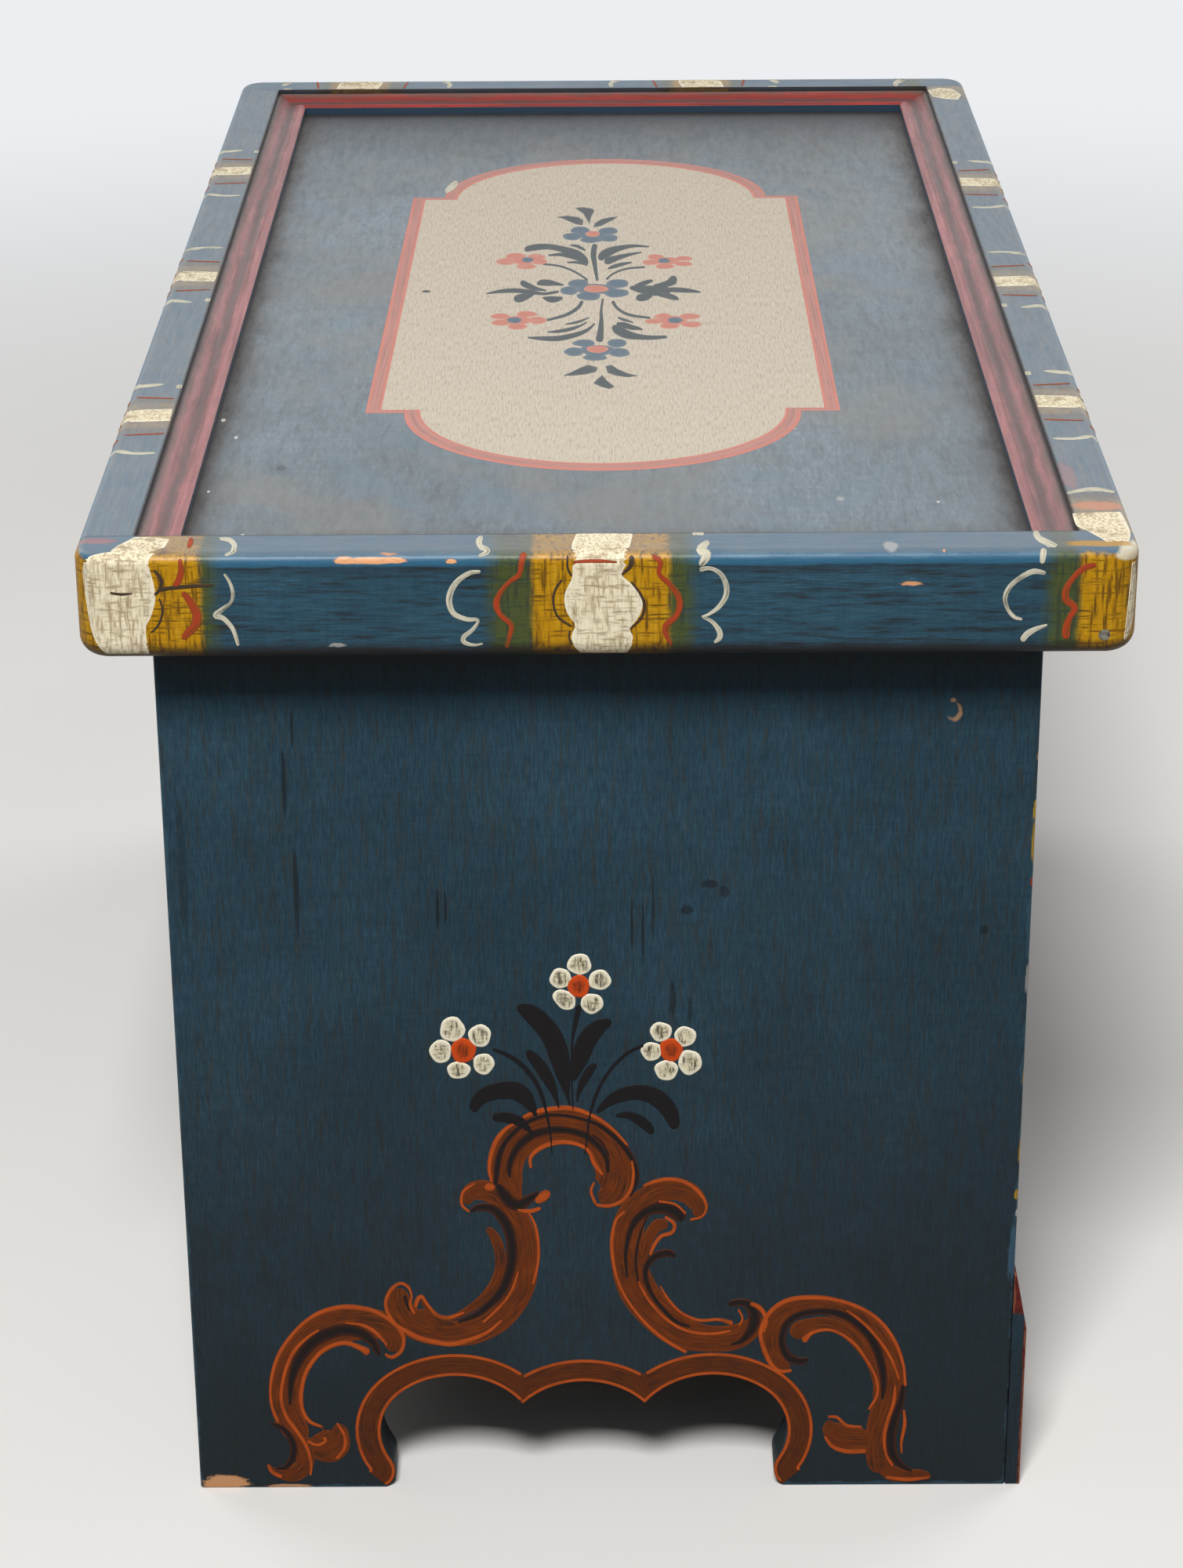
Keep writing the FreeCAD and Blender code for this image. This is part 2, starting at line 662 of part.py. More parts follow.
def build_bottom():
    """Bottom boards along the chest, nailed to a cleat on each end and borne by one front and back."""
    cleat_foot = sizes.bottom_height - sizes.cleat_size
    front_cleat = front_inside + sizes.cleat_size
    back_cleat = back_inside - sizes.cleat_size
    block("front_cleat", (-half_inside, front_inside, cleat_foot),
          (half_inside, front_cleat, sizes.bottom_height))
    block("back_cleat", (-half_inside, back_cleat, cleat_foot),
          (half_inside, back_inside, sizes.bottom_height))
    play = sizes.bottom_play
    count = len(bottom_boards)
    width = (back_inside - front_inside - play * (count + 1)) / count
    bottom_top = sizes.bottom_height + sizes.bottom_thickness
    nail_column = half_inside - sizes.cleat_size / 2
    blanks = []
    drives = []
    for number, name in enumerate(bottom_boards):
        edge = front_inside + play + (width + play) * number
        blanks.append((name, block("bottom_board_%s_blank" % name,
                                   (play - half_inside, edge, sizes.bottom_height),
                                   (half_inside - play, edge + width, bottom_top))))
        rows = even_places(edge + sizes.nail_margin, edge + width - sizes.nail_margin, 2)
        drives += [((nail_column * side, y, bottom_top), (0, 0, -1))
                   for side in (-1, 1) for y in rows]
    nails = fastener_group("bottom_nails", nail_shape(sizes.bottom_nail_length), drives)
    for name, blank in blanks:
        cut("bottom_board_" + name, blank, nails)
    left = block("left_cleat_blank", (-half_inside, front_cleat, cleat_foot),
                 (sizes.cleat_size - half_inside, back_cleat, sizes.bottom_height))
    right = block("right_cleat_blank", (half_inside - sizes.cleat_size, front_cleat, cleat_foot),
                  (half_inside, back_cleat, sizes.bottom_height))
    cut("left_cleat", left, nails)
    cut("right_cleat", right, nails)


def build_lid():
    board = block("lid_board_blank", (-half_board_length, -half_board_depth, sizes.carcass_height),
                  (half_board_length, half_board_depth, field_top))
    leaf_face = hinge_axis_z + sizes.barrel_radius - sizes.leaf_thickness
    screws = fastener_group("lid_leaf_screws", screw_shape(), screw_drives(leaf_face, 1))
    cut("lid_board", board, screws)
    drives = []
    for end in (-1, 1):
        for side, foot in ((-1, edging_foot), (1, sizes.carcass_height)):
            y = (half_lid_depth - sizes.corner_nail_inset) * side
            drives.append(((half_lid_length * end, y, foot + sizes.corner_nail_height),
                           (-end, 0, 0)))
    nails = fastener_group("lid_corner_nails", nail_shape(sizes.nail_length), drives)
    cut("lid_left_edging", end_edging("lid_left_edging", -1), nails)
    cut("lid_right_edging", end_edging("lid_right_edging", 1), nails)
    cut("lid_front_edging", long_edging("lid_front_edging", -1, edging_foot), nails)
    cut("lid_back_edging", long_edging("lid_back_edging", 1, sizes.carcass_height), nails)
    length = half_board_length * 2
    depth = half_board_depth * 2
    moulding("lid_front_moulding", -half_board_length, -half_board_depth, 0, length)
    moulding("lid_right_moulding", half_board_length, -half_board_depth, 90, depth)
    moulding("lid_back_moulding", half_board_length, half_board_depth, 180, length)
    moulding("lid_left_moulding", -half_board_length, half_board_depth, 270, depth)
    for name, start in hinge_starts:
        hinge_leaf(name + "_lid_leaf", start, True, (1, 3))


def check_and_write():
    """Writes each finished piece, once nothing in the document has failed."""
    doc.recompute()
    for thing in doc.Objects:
        if "Invalid" in thing.State or "Error" in thing.State:
            raise ValueError(thing.Name + " has failed")
    blanks = {thing.Base for thing in doc.Objects if thing.isDerivedFrom("Part::Cut")}
    gains = {thing for thing in doc.Objects if thing.Name.endswith("_gain")}
    kinds = ("Part::Box", "Part::Cut", "Part::Feature", "PartDesign::Body")
    pieces = [thing for thing in doc.Objects
              if thing.TypeId in kinds and thing not in blanks | gains]
    for piece in pieces:
        if piece.Shape.isNull() or not piece.Shape.isValid():
            raise ValueError(piece.Label + " is not a sound solid")
    os.makedirs("parts", exist_ok=True)
    for piece in pieces:
        piece.Shape.exportStep("parts/%s.step" % piece.Label)
    print(len(pieces), "pieces written")


hinge_starts = (
    ("left_hinge", sizes.hinge_inset - half_length),
    ("right_hinge", half_length - sizes.hinge_inset - sizes.hinge_length),
)
build_carcass()
build_lid()
check_and_write()
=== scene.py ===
import bpy
import numpy as np
from mathutils import Matrix, Vector


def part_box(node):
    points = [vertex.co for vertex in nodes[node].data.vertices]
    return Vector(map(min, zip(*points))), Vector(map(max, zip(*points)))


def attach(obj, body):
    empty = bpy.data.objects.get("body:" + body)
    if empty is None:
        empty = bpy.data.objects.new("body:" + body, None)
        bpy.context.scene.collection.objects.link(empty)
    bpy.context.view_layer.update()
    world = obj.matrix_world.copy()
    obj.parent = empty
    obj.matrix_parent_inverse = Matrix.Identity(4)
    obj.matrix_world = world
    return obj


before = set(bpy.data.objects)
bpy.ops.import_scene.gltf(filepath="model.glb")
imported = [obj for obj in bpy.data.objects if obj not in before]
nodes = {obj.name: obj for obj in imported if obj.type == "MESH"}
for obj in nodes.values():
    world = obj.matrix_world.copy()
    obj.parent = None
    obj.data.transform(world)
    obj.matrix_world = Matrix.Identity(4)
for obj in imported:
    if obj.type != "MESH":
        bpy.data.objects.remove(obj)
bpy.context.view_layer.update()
print("frame loaded:", len(nodes), "nodes")


# colour and node helpers

def tint(red, green, blue):
    # screen colour 0..255 to the linear colour that a shader socket takes
    c = np.array([red, green, blue]) / 255
    linear = np.where(c <= 0.04045, c / 12.92, ((c + 0.055) / 1.055) ** 2.4)
    return (*[float(x) for x in linear], 1.0)


def plug(tree, source, socket):
    # a socket as source is linked, anything else is set as the value
    if isinstance(source, bpy.types.NodeSocket):
        tree.links.new(source, socket)
    else:
        socket.default_value = source


def node(tree, kind, inputs=None, **props):
    made = tree.nodes.new("ShaderNode" + kind)
    for key, value in props.items():
        setattr(made, key, value)
    for key, value in (inputs or {}).items():
        plug(tree, value, made.inputs[key])
    return made


def math(tree, operation, a, b=0.0, clamp=False):
    return node(tree, "Math", {0: a, 1: b}, operation=operation, use_clamp=clamp).outputs[0]


def times(tree, a, b, clamp=False):
    return math(tree, "MULTIPLY", a, b, clamp)


def plus(tree, a, b, clamp=False):
    return math(tree, "ADD", a, b, clamp)


def minus(tree, a, b, clamp=False):
    return math(tree, "SUBTRACT", a, b, clamp)


def xyz(tree, value):
    return node(tree, "SeparateXYZ", {0: value}).outputs


def vector(tree, operation, a, b=(0.0, 0.0, 0.0)):
    return node(tree, "VectorMath", {0: a, 1: b}, operation=operation).outputs[0]


def ease(tree, value, low, high, start=0.0, end=1.0):
    # smooth step of value from low..high to start..end
    inputs = {"Value": value, "From Min": low, "From Max": high, "To Min": start, "To Max": end}
    return node(tree, "MapRange", inputs, interpolation_type="SMOOTHSTEP").outputs[0]


def blend(tree, share, a, b, how="MIX"):
    made = node(tree, "Mix", data_type="RGBA", blend_type=how)
    plug(tree, share, made.inputs["Factor"])
    plug(tree, a, made.inputs[6])
    plug(tree, b, made.inputs[7])
    return made.outputs[2]


def noise(tree, where, scale, detail=3.0, rough=0.55, warp=0.0):
    inputs = {"Vector": where, "Scale": scale, "Detail": detail, "Roughness": rough, "Distortion": warp}
    return node(tree, "TexNoise", inputs).outputs[0]


def shaken(tree, where, scale, detail, rough, share):
    # noise about zero, as large as the share
    return times(tree, minus(tree, noise(tree, where, scale, detail, rough), 0.5), share)


def newGroup(name, inputs, outputs):
    # shader node group with named sockets; returns the tree, its input sockets and its output node
    tree = bpy.data.node_groups.new(name, "ShaderNodeTree")
    kinds = {"v": "NodeSocketVector", "c": "NodeSocketColor", "f": "NodeSocketFloat"}
    for key, kind in inputs:
        tree.interface.new_socket(key, in_out="INPUT", socket_type=kinds[kind])
    for key, kind in outputs:
        tree.interface.new_socket(key, in_out="OUTPUT", socket_type=kinds[kind])
    return tree, tree.nodes.new("NodeGroupInput").outputs, tree.nodes.new("NodeGroupOutput").inputs


def use(tree, group, inputs):
    made = tree.nodes.new("ShaderNodeGroup")
    made.node_tree = group
    for key, value in inputs.items():
        plug(tree, value, made.inputs[key])
    return made.outputs


# shared effects

def brushedPaintGroup():
    # old brush paint: noise stretched along the brush gives dark streaks and fine bristle lines, a second one
    # crosses them, a slow cloud shifts the tone, and where fine line and cloud agree the paint is rubbed
    tree, given, out = newGroup("brushedPaint", [
        ("Vector", "v"), ("Stretch", "v"), ("Cross", "v"), ("Base", "c"), ("Streak", "c"), ("Rubbed", "c"),
        ("Streaks", "f"), ("Rubbing", "f")], [("Color", "c"), ("Height", "f"), ("Roughness", "f")])
    drawn = vector(tree, "MULTIPLY", given["Vector"], given["Stretch"])
    coarse = noise(tree, drawn, 1.0, 5.0, 0.66, 0.35)
    fine = noise(tree, drawn, 2.6, 3.0, 0.65)
    weave = noise(tree, vector(tree, "MULTIPLY", given["Vector"], given["Cross"]), 1.0, 3.0, 0.6)
    cloud = noise(tree, given["Vector"], 6.5, 4.0, 0.6)
    mixed = plus(tree, coarse, times(tree, minus(tree, fine, 0.5), 0.45))
    streak = times(tree, ease(tree, mixed, 0.46, 0.7), given["Streaks"], True)
    rub = times(tree, ease(tree, fine, 0.55, 0.78), ease(tree, cloud, 0.42, 0.66))
    rub = times(tree, rub, given["Rubbing"], True)
    colour = blend(tree, streak, given["Base"], given["Streak"])
    colour = blend(tree, rub, colour, given["Rubbed"])
    tone = ease(tree, cloud, 0.3, 0.7, 0.82, 1.18)
    tone = times(tree, tone, ease(tree, fine, 0.3, 0.7, 0.74, 1.26))
    tone = times(tree, tone, ease(tree, weave, 0.3, 0.7, 0.94, 1.06))
    shade = node(tree, "CombineXYZ", {0: tone, 1: tone, 2: tone}).outputs[0]
    plug(tree, blend(tree, 1.0, colour, shade, "MULTIPLY"), out["Color"])
    relief = plus(tree, times(tree, coarse, 0.6), times(tree, fine, 0.4))
    plug(tree, relief, out["Height"])
    plug(tree, ease(tree, mixed, 0.3, 0.75, 0.36, 0.56), out["Roughness"])
    return tree


def pineGrainGroup():
    # sawn pine: rings are waves across the board, bent by noise that is long with the grain
    tree, given, out = newGroup("pineGrain", [("Vector", "v"), ("Stretch", "v")],
                                [("Color", "c"), ("Height", "f"), ("Roughness", "f")])
    drawn = vector(tree, "MULTIPLY", given["Vector"], given["Stretch"])
    bend = noise(tree, drawn, 0.8, 2.0, 0.5)
    rings = math(tree, "SINE", times(tree, bend, 54.0))
    fibre = noise(tree, drawn, 9.0, 4.0, 0.65)
    late = times(tree, ease(tree, rings, -0.2, 1.0), 0.6)
    colour = blend(tree, late, tint(206, 168, 118), tint(172, 124, 76))
    colour = blend(tree, ease(tree, fibre, 0.5, 0.75, 0.0, 0.5), colour, tint(140, 98, 58))
    darkTone = ease(tree, noise(tree, given["Vector"], 5.0, 5.0, 0.65), 0.5, 0.75, 0.0, 0.45)
    plug(tree, blend(tree, darkTone, colour, tint(112, 84, 58)), out["Color"])
    plug(tree, plus(tree, times(tree, late, 0.4), fibre), out["Height"])
    plug(tree, ease(tree, fibre, 0.3, 0.7, 0.62, 0.82), out["Roughness"])
    return tree


def boardEdgesGroup():
    # distance to the nearest edge of a box: of the three distances to its faces, the second smallest;
    # the mask fades over a width that noise makes ragged
    tree, given, out = newGroup("boardEdges", [("Vector", "v"), ("Low", "v"), ("High", "v"), ("Width", "f")],
                                [("Edge", "f")])
    below = vector(tree, "SUBTRACT", given["Vector"], given["Low"])
    above = vector(tree, "SUBTRACT", given["High"], given["Vector"])
    near = xyz(tree, vector(tree, "MINIMUM", below, above))
    small = math(tree, "MINIMUM", near[0], near[1])
    large = math(tree, "MAXIMUM", near[0], near[1])
    second = math(tree, "MAXIMUM", small, math(tree, "MINIMUM", large, near[2]))
    ragged = ease(tree, noise(tree, given["Vector"], 55.0, 5.0, 0.7), 0.32, 0.7, 0.05, 1.0)
    reach = times(tree, given["Width"], ragged)
    share = math(tree, "DIVIDE", second, math(tree, "MAXIMUM", reach, 0.00005))
    plug(tree, ease(tree, share, 0.55, 1.0, 1.0, 0.0), out["Edge"])
    return tree


def spotGroup():
    # mask of a ragged oval spot: distance from its centre in units of its radii, shaken by noise
    tree, given, out = newGroup("spot", [("Vector", "v"), ("Centre", "v"), ("Radii", "v"), ("Ragged", "f")],
                                [("Mask", "f")])
    away = vector(tree, "DIVIDE", vector(tree, "SUBTRACT", given["Vector"], given["Centre"]), given["Radii"])
    far = node(tree, "VectorMath", {0: away}, operation="LENGTH").outputs[1]
    far = plus(tree, far, shaken(tree, away, 1.9, 5.0, 0.75, given["Ragged"]))
    plug(tree, ease(tree, far, 0.75, 1.05, 1.0, 0.0), out["Mask"])
    return tree


def bandFadeGroup():
    # mask of a painted band across a bar: distance along the bar from the band's middle,
    # shaken by noise, fading over the soft width
    tree, given, out = newGroup("bandFade", [("Vector", "v"), ("Along", "f"), ("Middle", "f"), ("Half", "f"),
                                             ("Soft", "f")], [("Mask", "f")])
    away = math(tree, "ABSOLUTE", minus(tree, given["Along"], given["Middle"]))
    away = plus(tree, away, shaken(tree, given["Vector"], 130.0, 4.0, 0.65, given["Soft"]))
    past = math(tree, "DIVIDE", minus(tree, away, given["Half"]), given["Soft"])
    plug(tree, ease(tree, past, 0.0, 1.0, 1.0, 0.0), out["Mask"])
    return tree


def flecksGroup():
    # scattered specks: small cells of a voronoi pattern, only where a slow noise lets them through
    tree, given, out = newGroup("flecks", [("Vector", "v"), ("Scale", "f"), ("Size", "f"), ("Amount", "f")],
                                [("Mask", "f")])
    cells = node(tree, "TexVoronoi", {"Vector": given["Vector"], "Scale": given["Scale"]})
    dot = math(tree, "LESS_THAN", cells.outputs["Distance"], given["Size"])
    pick = node(tree, "SeparateColor", {0: cells.outputs["Color"]}).outputs[0]
    plug(tree, times(tree, dot, math(tree, "LESS_THAN", pick, given["Amount"])), out["Mask"])
    return tree


def bareInsideGroup():
    # mask of the unpainted inside: 1 where x and y both lie between the inner faces of the case;
    # the second mask is 1 below the bottom boards, where the wood is aged and painted near black as shade
    tree, given, out = newGroup("bareInside", [("Vector", "v"), ("Low", "v"), ("High", "v")],
                                [("Bare", "f"), ("AgedShaded", "f")])
    at = xyz(tree, given["Vector"])
    low = xyz(tree, given["Low"])
    high = xyz(tree, given["High"])
    bare = times(tree, math(tree, "GREATER_THAN", at[0], low[0]), math(tree, "LESS_THAN", at[0], high[0]))
    bare = times(tree, bare, math(tree, "GREATER_THAN", at[1], low[1]))
    bare = times(tree, bare, math(tree, "LESS_THAN", at[1], high[1]))
    plug(tree, bare, out["Bare"])
    under = minus(tree, at[2], low[2])
    plug(tree, times(tree, bare, ease(tree, under, 0.0005, 0.003, 1.0, 0.0)), out["AgedShaded"])
    return tree


brushWays = dict(
    endUpright=((90.0, 540.0, 56.0), (90.0, 60.0, 560.0)),
    frontLevel=((56.0, 90.0, 540.0), (560.0, 90.0, 60.0)),
    barAcross=((260.0, 40.0, 520.0), (40.0, 560.0, 40.0)),
    barLong=((40.0, 260.0, 520.0), (560.0, 40.0, 40.0)),
    stripLong=((12.0, 300.0, 300.0), (320.0, 60.0, 60.0)),
    stripAcross=((300.0, 12.0, 300.0), (60.0, 320.0, 60.0)),
    field=((50.0, 240.0, 60.0), (300.0, 40.0, 60.0)))


def brushed(tree, where, way, paint, streaks, rubbing):
    # brushed paint in a piece's own colours, drawn along one of the brush ways
    stretch, cross = brushWays[way]
    return use(tree, brushedPaint, {
        "Vector": where, "Stretch": stretch, "Cross": cross, "Base": paint["base"], "Streak": paint["streak"],
        "Rubbed": paint["rubbed"], "Streaks": streaks, "Rubbing": rubbing})


def chipped(tree, where, colour, height, spots, depth=0.8):
    # each spot lays its own colour over the paint and sinks the surface a little
    for centre, radii, ragged, shown, strength in spots:
        chip = use(tree, spot, {"Vector": where, "Centre": centre, "Radii": radii, "Ragged": ragged})["Mask"]
        colour = blend(tree, times(tree, chip, strength), colour, shown)
        height = minus(tree, height, times(tree, chip, depth))
    return colour, height


brushedPaint = brushedPaintGroup()
bareInside = bareInsideGroup()
pineGrain = pineGrainGroup()
boardEdges = boardEdgesGroup()
spot = spotGroup()
bandFade = bandFadeGroup()
flecks = flecksGroup()
print("shared effects ready")


# the photograph's view, used for the camera and to carry its points onto the boards

photoView = dict(width=1509, height=2000, focal=4767.8, pitch=23.97, yaw=-0.18, roll=-0.37,
                 eye=(-1.9636, 0.0024, 1.0737))


def viewAxes():
    # forward, right and up of a camera that looks along +X, turned by yaw, tipped down by pitch, then rolled
    p, w, r = np.radians([photoView["pitch"], photoView["yaw"], photoView["roll"]])
    ahead = np.array([np.cos(p) * np.cos(w), -np.cos(p) * np.sin(w), -np.sin(p)])
    right = np.array([-np.sin(w), -np.cos(w), 0.0])
    up = np.cross(right, ahead)
    return ahead, np.cos(r) * right + np.sin(r) * up, np.cos(r) * up - np.sin(r) * right


eye = np.array(photoView["eye"])
ahead, rightWay, upWay = viewAxes()


def sightLines(px):
    # direction of the sight line through each pixel of the photograph
    px = np.asarray(px, float)
    across = (px[..., 0:1] - photoView["width"] / 2) / photoView["focal"]
    down = (px[..., 1:2] - photoView["height"] / 2) / photoView["focal"]
    return ahead + across * rightWay - down * upWay


def seenOn(px, axis, level):
    # where the sight lines meet the plane on which one coordinate has the given level
    way = sightLines(px)
    return eye + way * ((level - eye[axis]) / way[..., axis:axis + 1])


def seenSpots(axis, level, colours, rows, deep=0.004):
    # photographed spots (x, y, half width, half height, raggedness, colour's name, strength) as centres and
    # radii on a board: each radius is the way from the centre to the point beside it or below it
    made = []
    for x, y, wide, tall, ragged, shown, strength in rows:
        centre, beside, below = seenOn([(x, y), (x + wide, y), (x, y + tall)], axis, level)
        radii = np.abs(beside - centre) + np.abs(below - centre)
        radii[axis] = deep
        made.append((tuple(centre), tuple(radii), ragged, colours[shown], strength))
    return made


def makeCamera():
    data = bpy.data.cameras.new("photoCamera")
    data.lens = photoView["focal"] / photoView["height"] * data.sensor_width
    data.clip_start = 0.05
    data.clip_end = 60.0
    camera = bpy.data.objects.new("photoCamera", data)
    bpy.context.scene.collection.objects.link(camera)
    turn = Matrix((rightWay, upWay, -ahead)).transposed().to_4x4()
    camera.matrix_world = Matrix.Translation(Vector(eye)) @ turn
    bpy.context.scene.camera = camera


makeCamera()


# materials of the boards

def newMaterial(name):
    made = bpy.data.materials.new(name)
    made.use_nodes = True
    tree = made.node_tree
    tree.nodes.clear()
    shader = tree.nodes.new("ShaderNodeBsdfPrincipled")
    output = tree.nodes.new("ShaderNodeOutputMaterial")
    tree.links.new(shader.outputs[0], output.inputs[0])
    return made, tree, shader, node(tree, "TexCoord").outputs["Object"]


def finishSurface(tree, shader, colour, rough, height, depth, strength, gloss=None):
    # colour and roughness to the shader, the height as a bump of the given depth, and a plain level of gloss
    plug(tree, colour, shader.inputs["Base Color"])
    plug(tree, rough, shader.inputs["Roughness"])
    bump = node(tree, "Bump", {"Height": height, "Distance": depth, "Strength": strength})
    plug(tree, bump.outputs[0], shader.inputs["Normal"])
    if gloss is not None:
        shader.inputs["Specular IOR Level"].default_value = gloss


def varnish(shader, weight=0.45, gloss=0.35):
    # thin old varnish over the lid's paint
    shader.inputs["Coat Weight"].default_value = weight
    shader.inputs["Coat Roughness"].default_value = 0.36
    shader.inputs["Specular IOR Level"].default_value = gloss


def corners(name):
    low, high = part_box(name)
    return tuple(low), tuple(high)


blueBoards = dict(
    base=tint(42, 67, 81), streak=tint(49, 54, 54), rubbed=tint(58, 89, 105), bare=tint(206, 152, 108),
    worn=tint(58, 88, 104), low=tint(36, 39, 40), scar=tint(168, 132, 100), stain=tint(24, 24, 24),
    ochre=tint(176, 140, 36), red=tint(150, 52, 34), white=tint(196, 192, 184), rub=tint(70, 104, 128),
    darkTone=tint(42, 43, 45), lidShadeReach=(0.424, 0.448), fleckPale=tint(150, 158, 158), lap=0.0005, gloss=0.08,
    streaks=0.85, rubbing=0.5)
leftBox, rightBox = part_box("left_end_panel"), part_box("right_end_panel")
frontBox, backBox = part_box("front_panel"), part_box("back_panel")
lap = blueBoards["lap"]
insideLow = (leftBox[1].x - lap, frontBox[1].y - lap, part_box("bottom_board_middle")[0].z)
insideHigh = (rightBox[0].x + lap, backBox[0].y + lap, 1.0)
caseBox = ((leftBox[0].x, frontBox[0].y, 0.0), (rightBox[1].x, backBox[1].y, frontBox[1].z))
shadedAgedWood = tint(22, 18, 15)
grainWays = dict(long=(1.6, 32.0, 32.0), deep=(32.0, 1.6, 32.0), upright=(32.0, 32.0, 1.6))


def brushedBlue(tree, where, way):
    return brushed(tree, where, way, blueBoards, blueBoards["streaks"], blueBoards["rubbing"])


def blueBoard(name, box, way, grain, endWay=None, spots=()):
    # painted board: brushed blue, darker towards the floor, with painted shade under the lid, rubbed along
    # the edges of the case, chipped and stained at the spots, and plain sawn pine where it faces the inside
    made, tree, shader, where = newMaterial(name)
    parts = xyz(tree, where)
    paint = brushedBlue(tree, where, way)
    colour, rough, height = paint["Color"], paint["Roughness"], paint["Height"]
    if endWay:
        upright = brushedBlue(tree, where, endWay)
        atEnd = math(tree, "GREATER_THAN", math(tree, "ABSOLUTE", parts[0]), box[1][0] - 0.0006)
        colour = blend(tree, atEnd, colour, upright["Color"])
    # darker towards the floor
    shake = shaken(tree, where, 9.0, 4.0, 0.6, 0.25)
    darkening = ease(tree, plus(tree, parts[2], shake), 0.0, 0.40, 0.82, 0.0)
    colour = blend(tree, darkening, colour, blueBoards["low"])
    edge = use(tree, boardEdges, {"Vector": where, "Low": caseBox[0], "High": caseBox[1], "Width": 0.003})
    colour = blend(tree, times(tree, edge["Edge"], 0.5), colour, blueBoards["worn"])
    # painted shade under the lid's overhang: the top of the board is blended towards a near black grey
    lidShade = ease(tree, parts[2], *blueBoards["lidShadeReach"], 0.0, 0.8)
    colour = blend(tree, lidShade, colour, blueBoards["darkTone"])
    colour, height = chipped(tree, where, colour, height, spots)
    pale = use(tree, flecks, {"Vector": where, "Scale": 70.0, "Size": 0.05, "Amount": 0.05})["Mask"]
    colour = blend(tree, times(tree, pale, 0.55), colour, blueBoards["fleckPale"])
    dark = use(tree, flecks, {"Vector": where, "Scale": 45.0, "Size": 0.09, "Amount": 0.06})["Mask"]
    colour = blend(tree, times(tree, dark, 0.6), colour, blueBoards["stain"])
    inside = use(tree, bareInside, {"Vector": where, "Low": insideLow, "High": insideHigh})
    wood = use(tree, pineGrain, {"Vector": where, "Stretch": grain})
    colour = blend(tree, inside["Bare"], colour, wood["Color"])
    # below the bottom boards the bare wood is aged and painted near black as shade under the chest
    colour = blend(tree, times(tree, inside["AgedShaded"], 0.9), colour, shadedAgedWood)
    plain = minus(tree, 1.0, inside["Bare"])
    rough = plus(tree, times(tree, rough, plain), times(tree, wood["Roughness"], inside["Bare"]))
    finishSurface(tree, shader, colour, rough, height, 0.0005, 0.45, blueBoards["gloss"])
    return made


def pineBoard(name, stretch):
    # sawn pine, aged and painted near black as shade on the side that faces the floor
    made, tree, shader, where = newMaterial(name)
    wood = use(tree, pineGrain, {"Vector": where, "Stretch": stretch})
    inside = use(tree, bareInside, {"Vector": where, "Low": insideLow, "High": insideHigh})
    colour = blend(tree, times(tree, inside["AgedShaded"], 0.9), wood["Color"], shadedAgedWood)
    finishSurface(tree, shader, colour, wood["Roughness"], wood["Height"], 0.0006, 0.5, blueBoards["gloss"])
    return made


edgingPaint = dict(
    base=tint(45, 77, 94), streak=tint(36, 41, 43), rubbed=tint(58, 104, 128), arris=tint(50, 100, 130),
    ochre=tint(184, 134, 14), ochreDark=tint(84, 56, 16), ochreLight=tint(198, 154, 40),
    tan=tint(158, 128, 78), tanDark=tint(104, 84, 54), green=tint(72, 80, 34), foot=tint(36, 27, 23),
    bare=tint(222, 160, 114), worn=tint(84, 120, 138), dust=tint(124, 126, 126), smear=tint(170, 110, 106),
    coral=tint(196, 132, 100), white=tint(196, 192, 184), topBand=0.2020, dustAndSheenShare=(0.63, 0.44),
    fibreShare=(0.9, 0.3), fibreWays=((45.0, 620.0, 620.0), (620.0, 45.0, 620.0)))


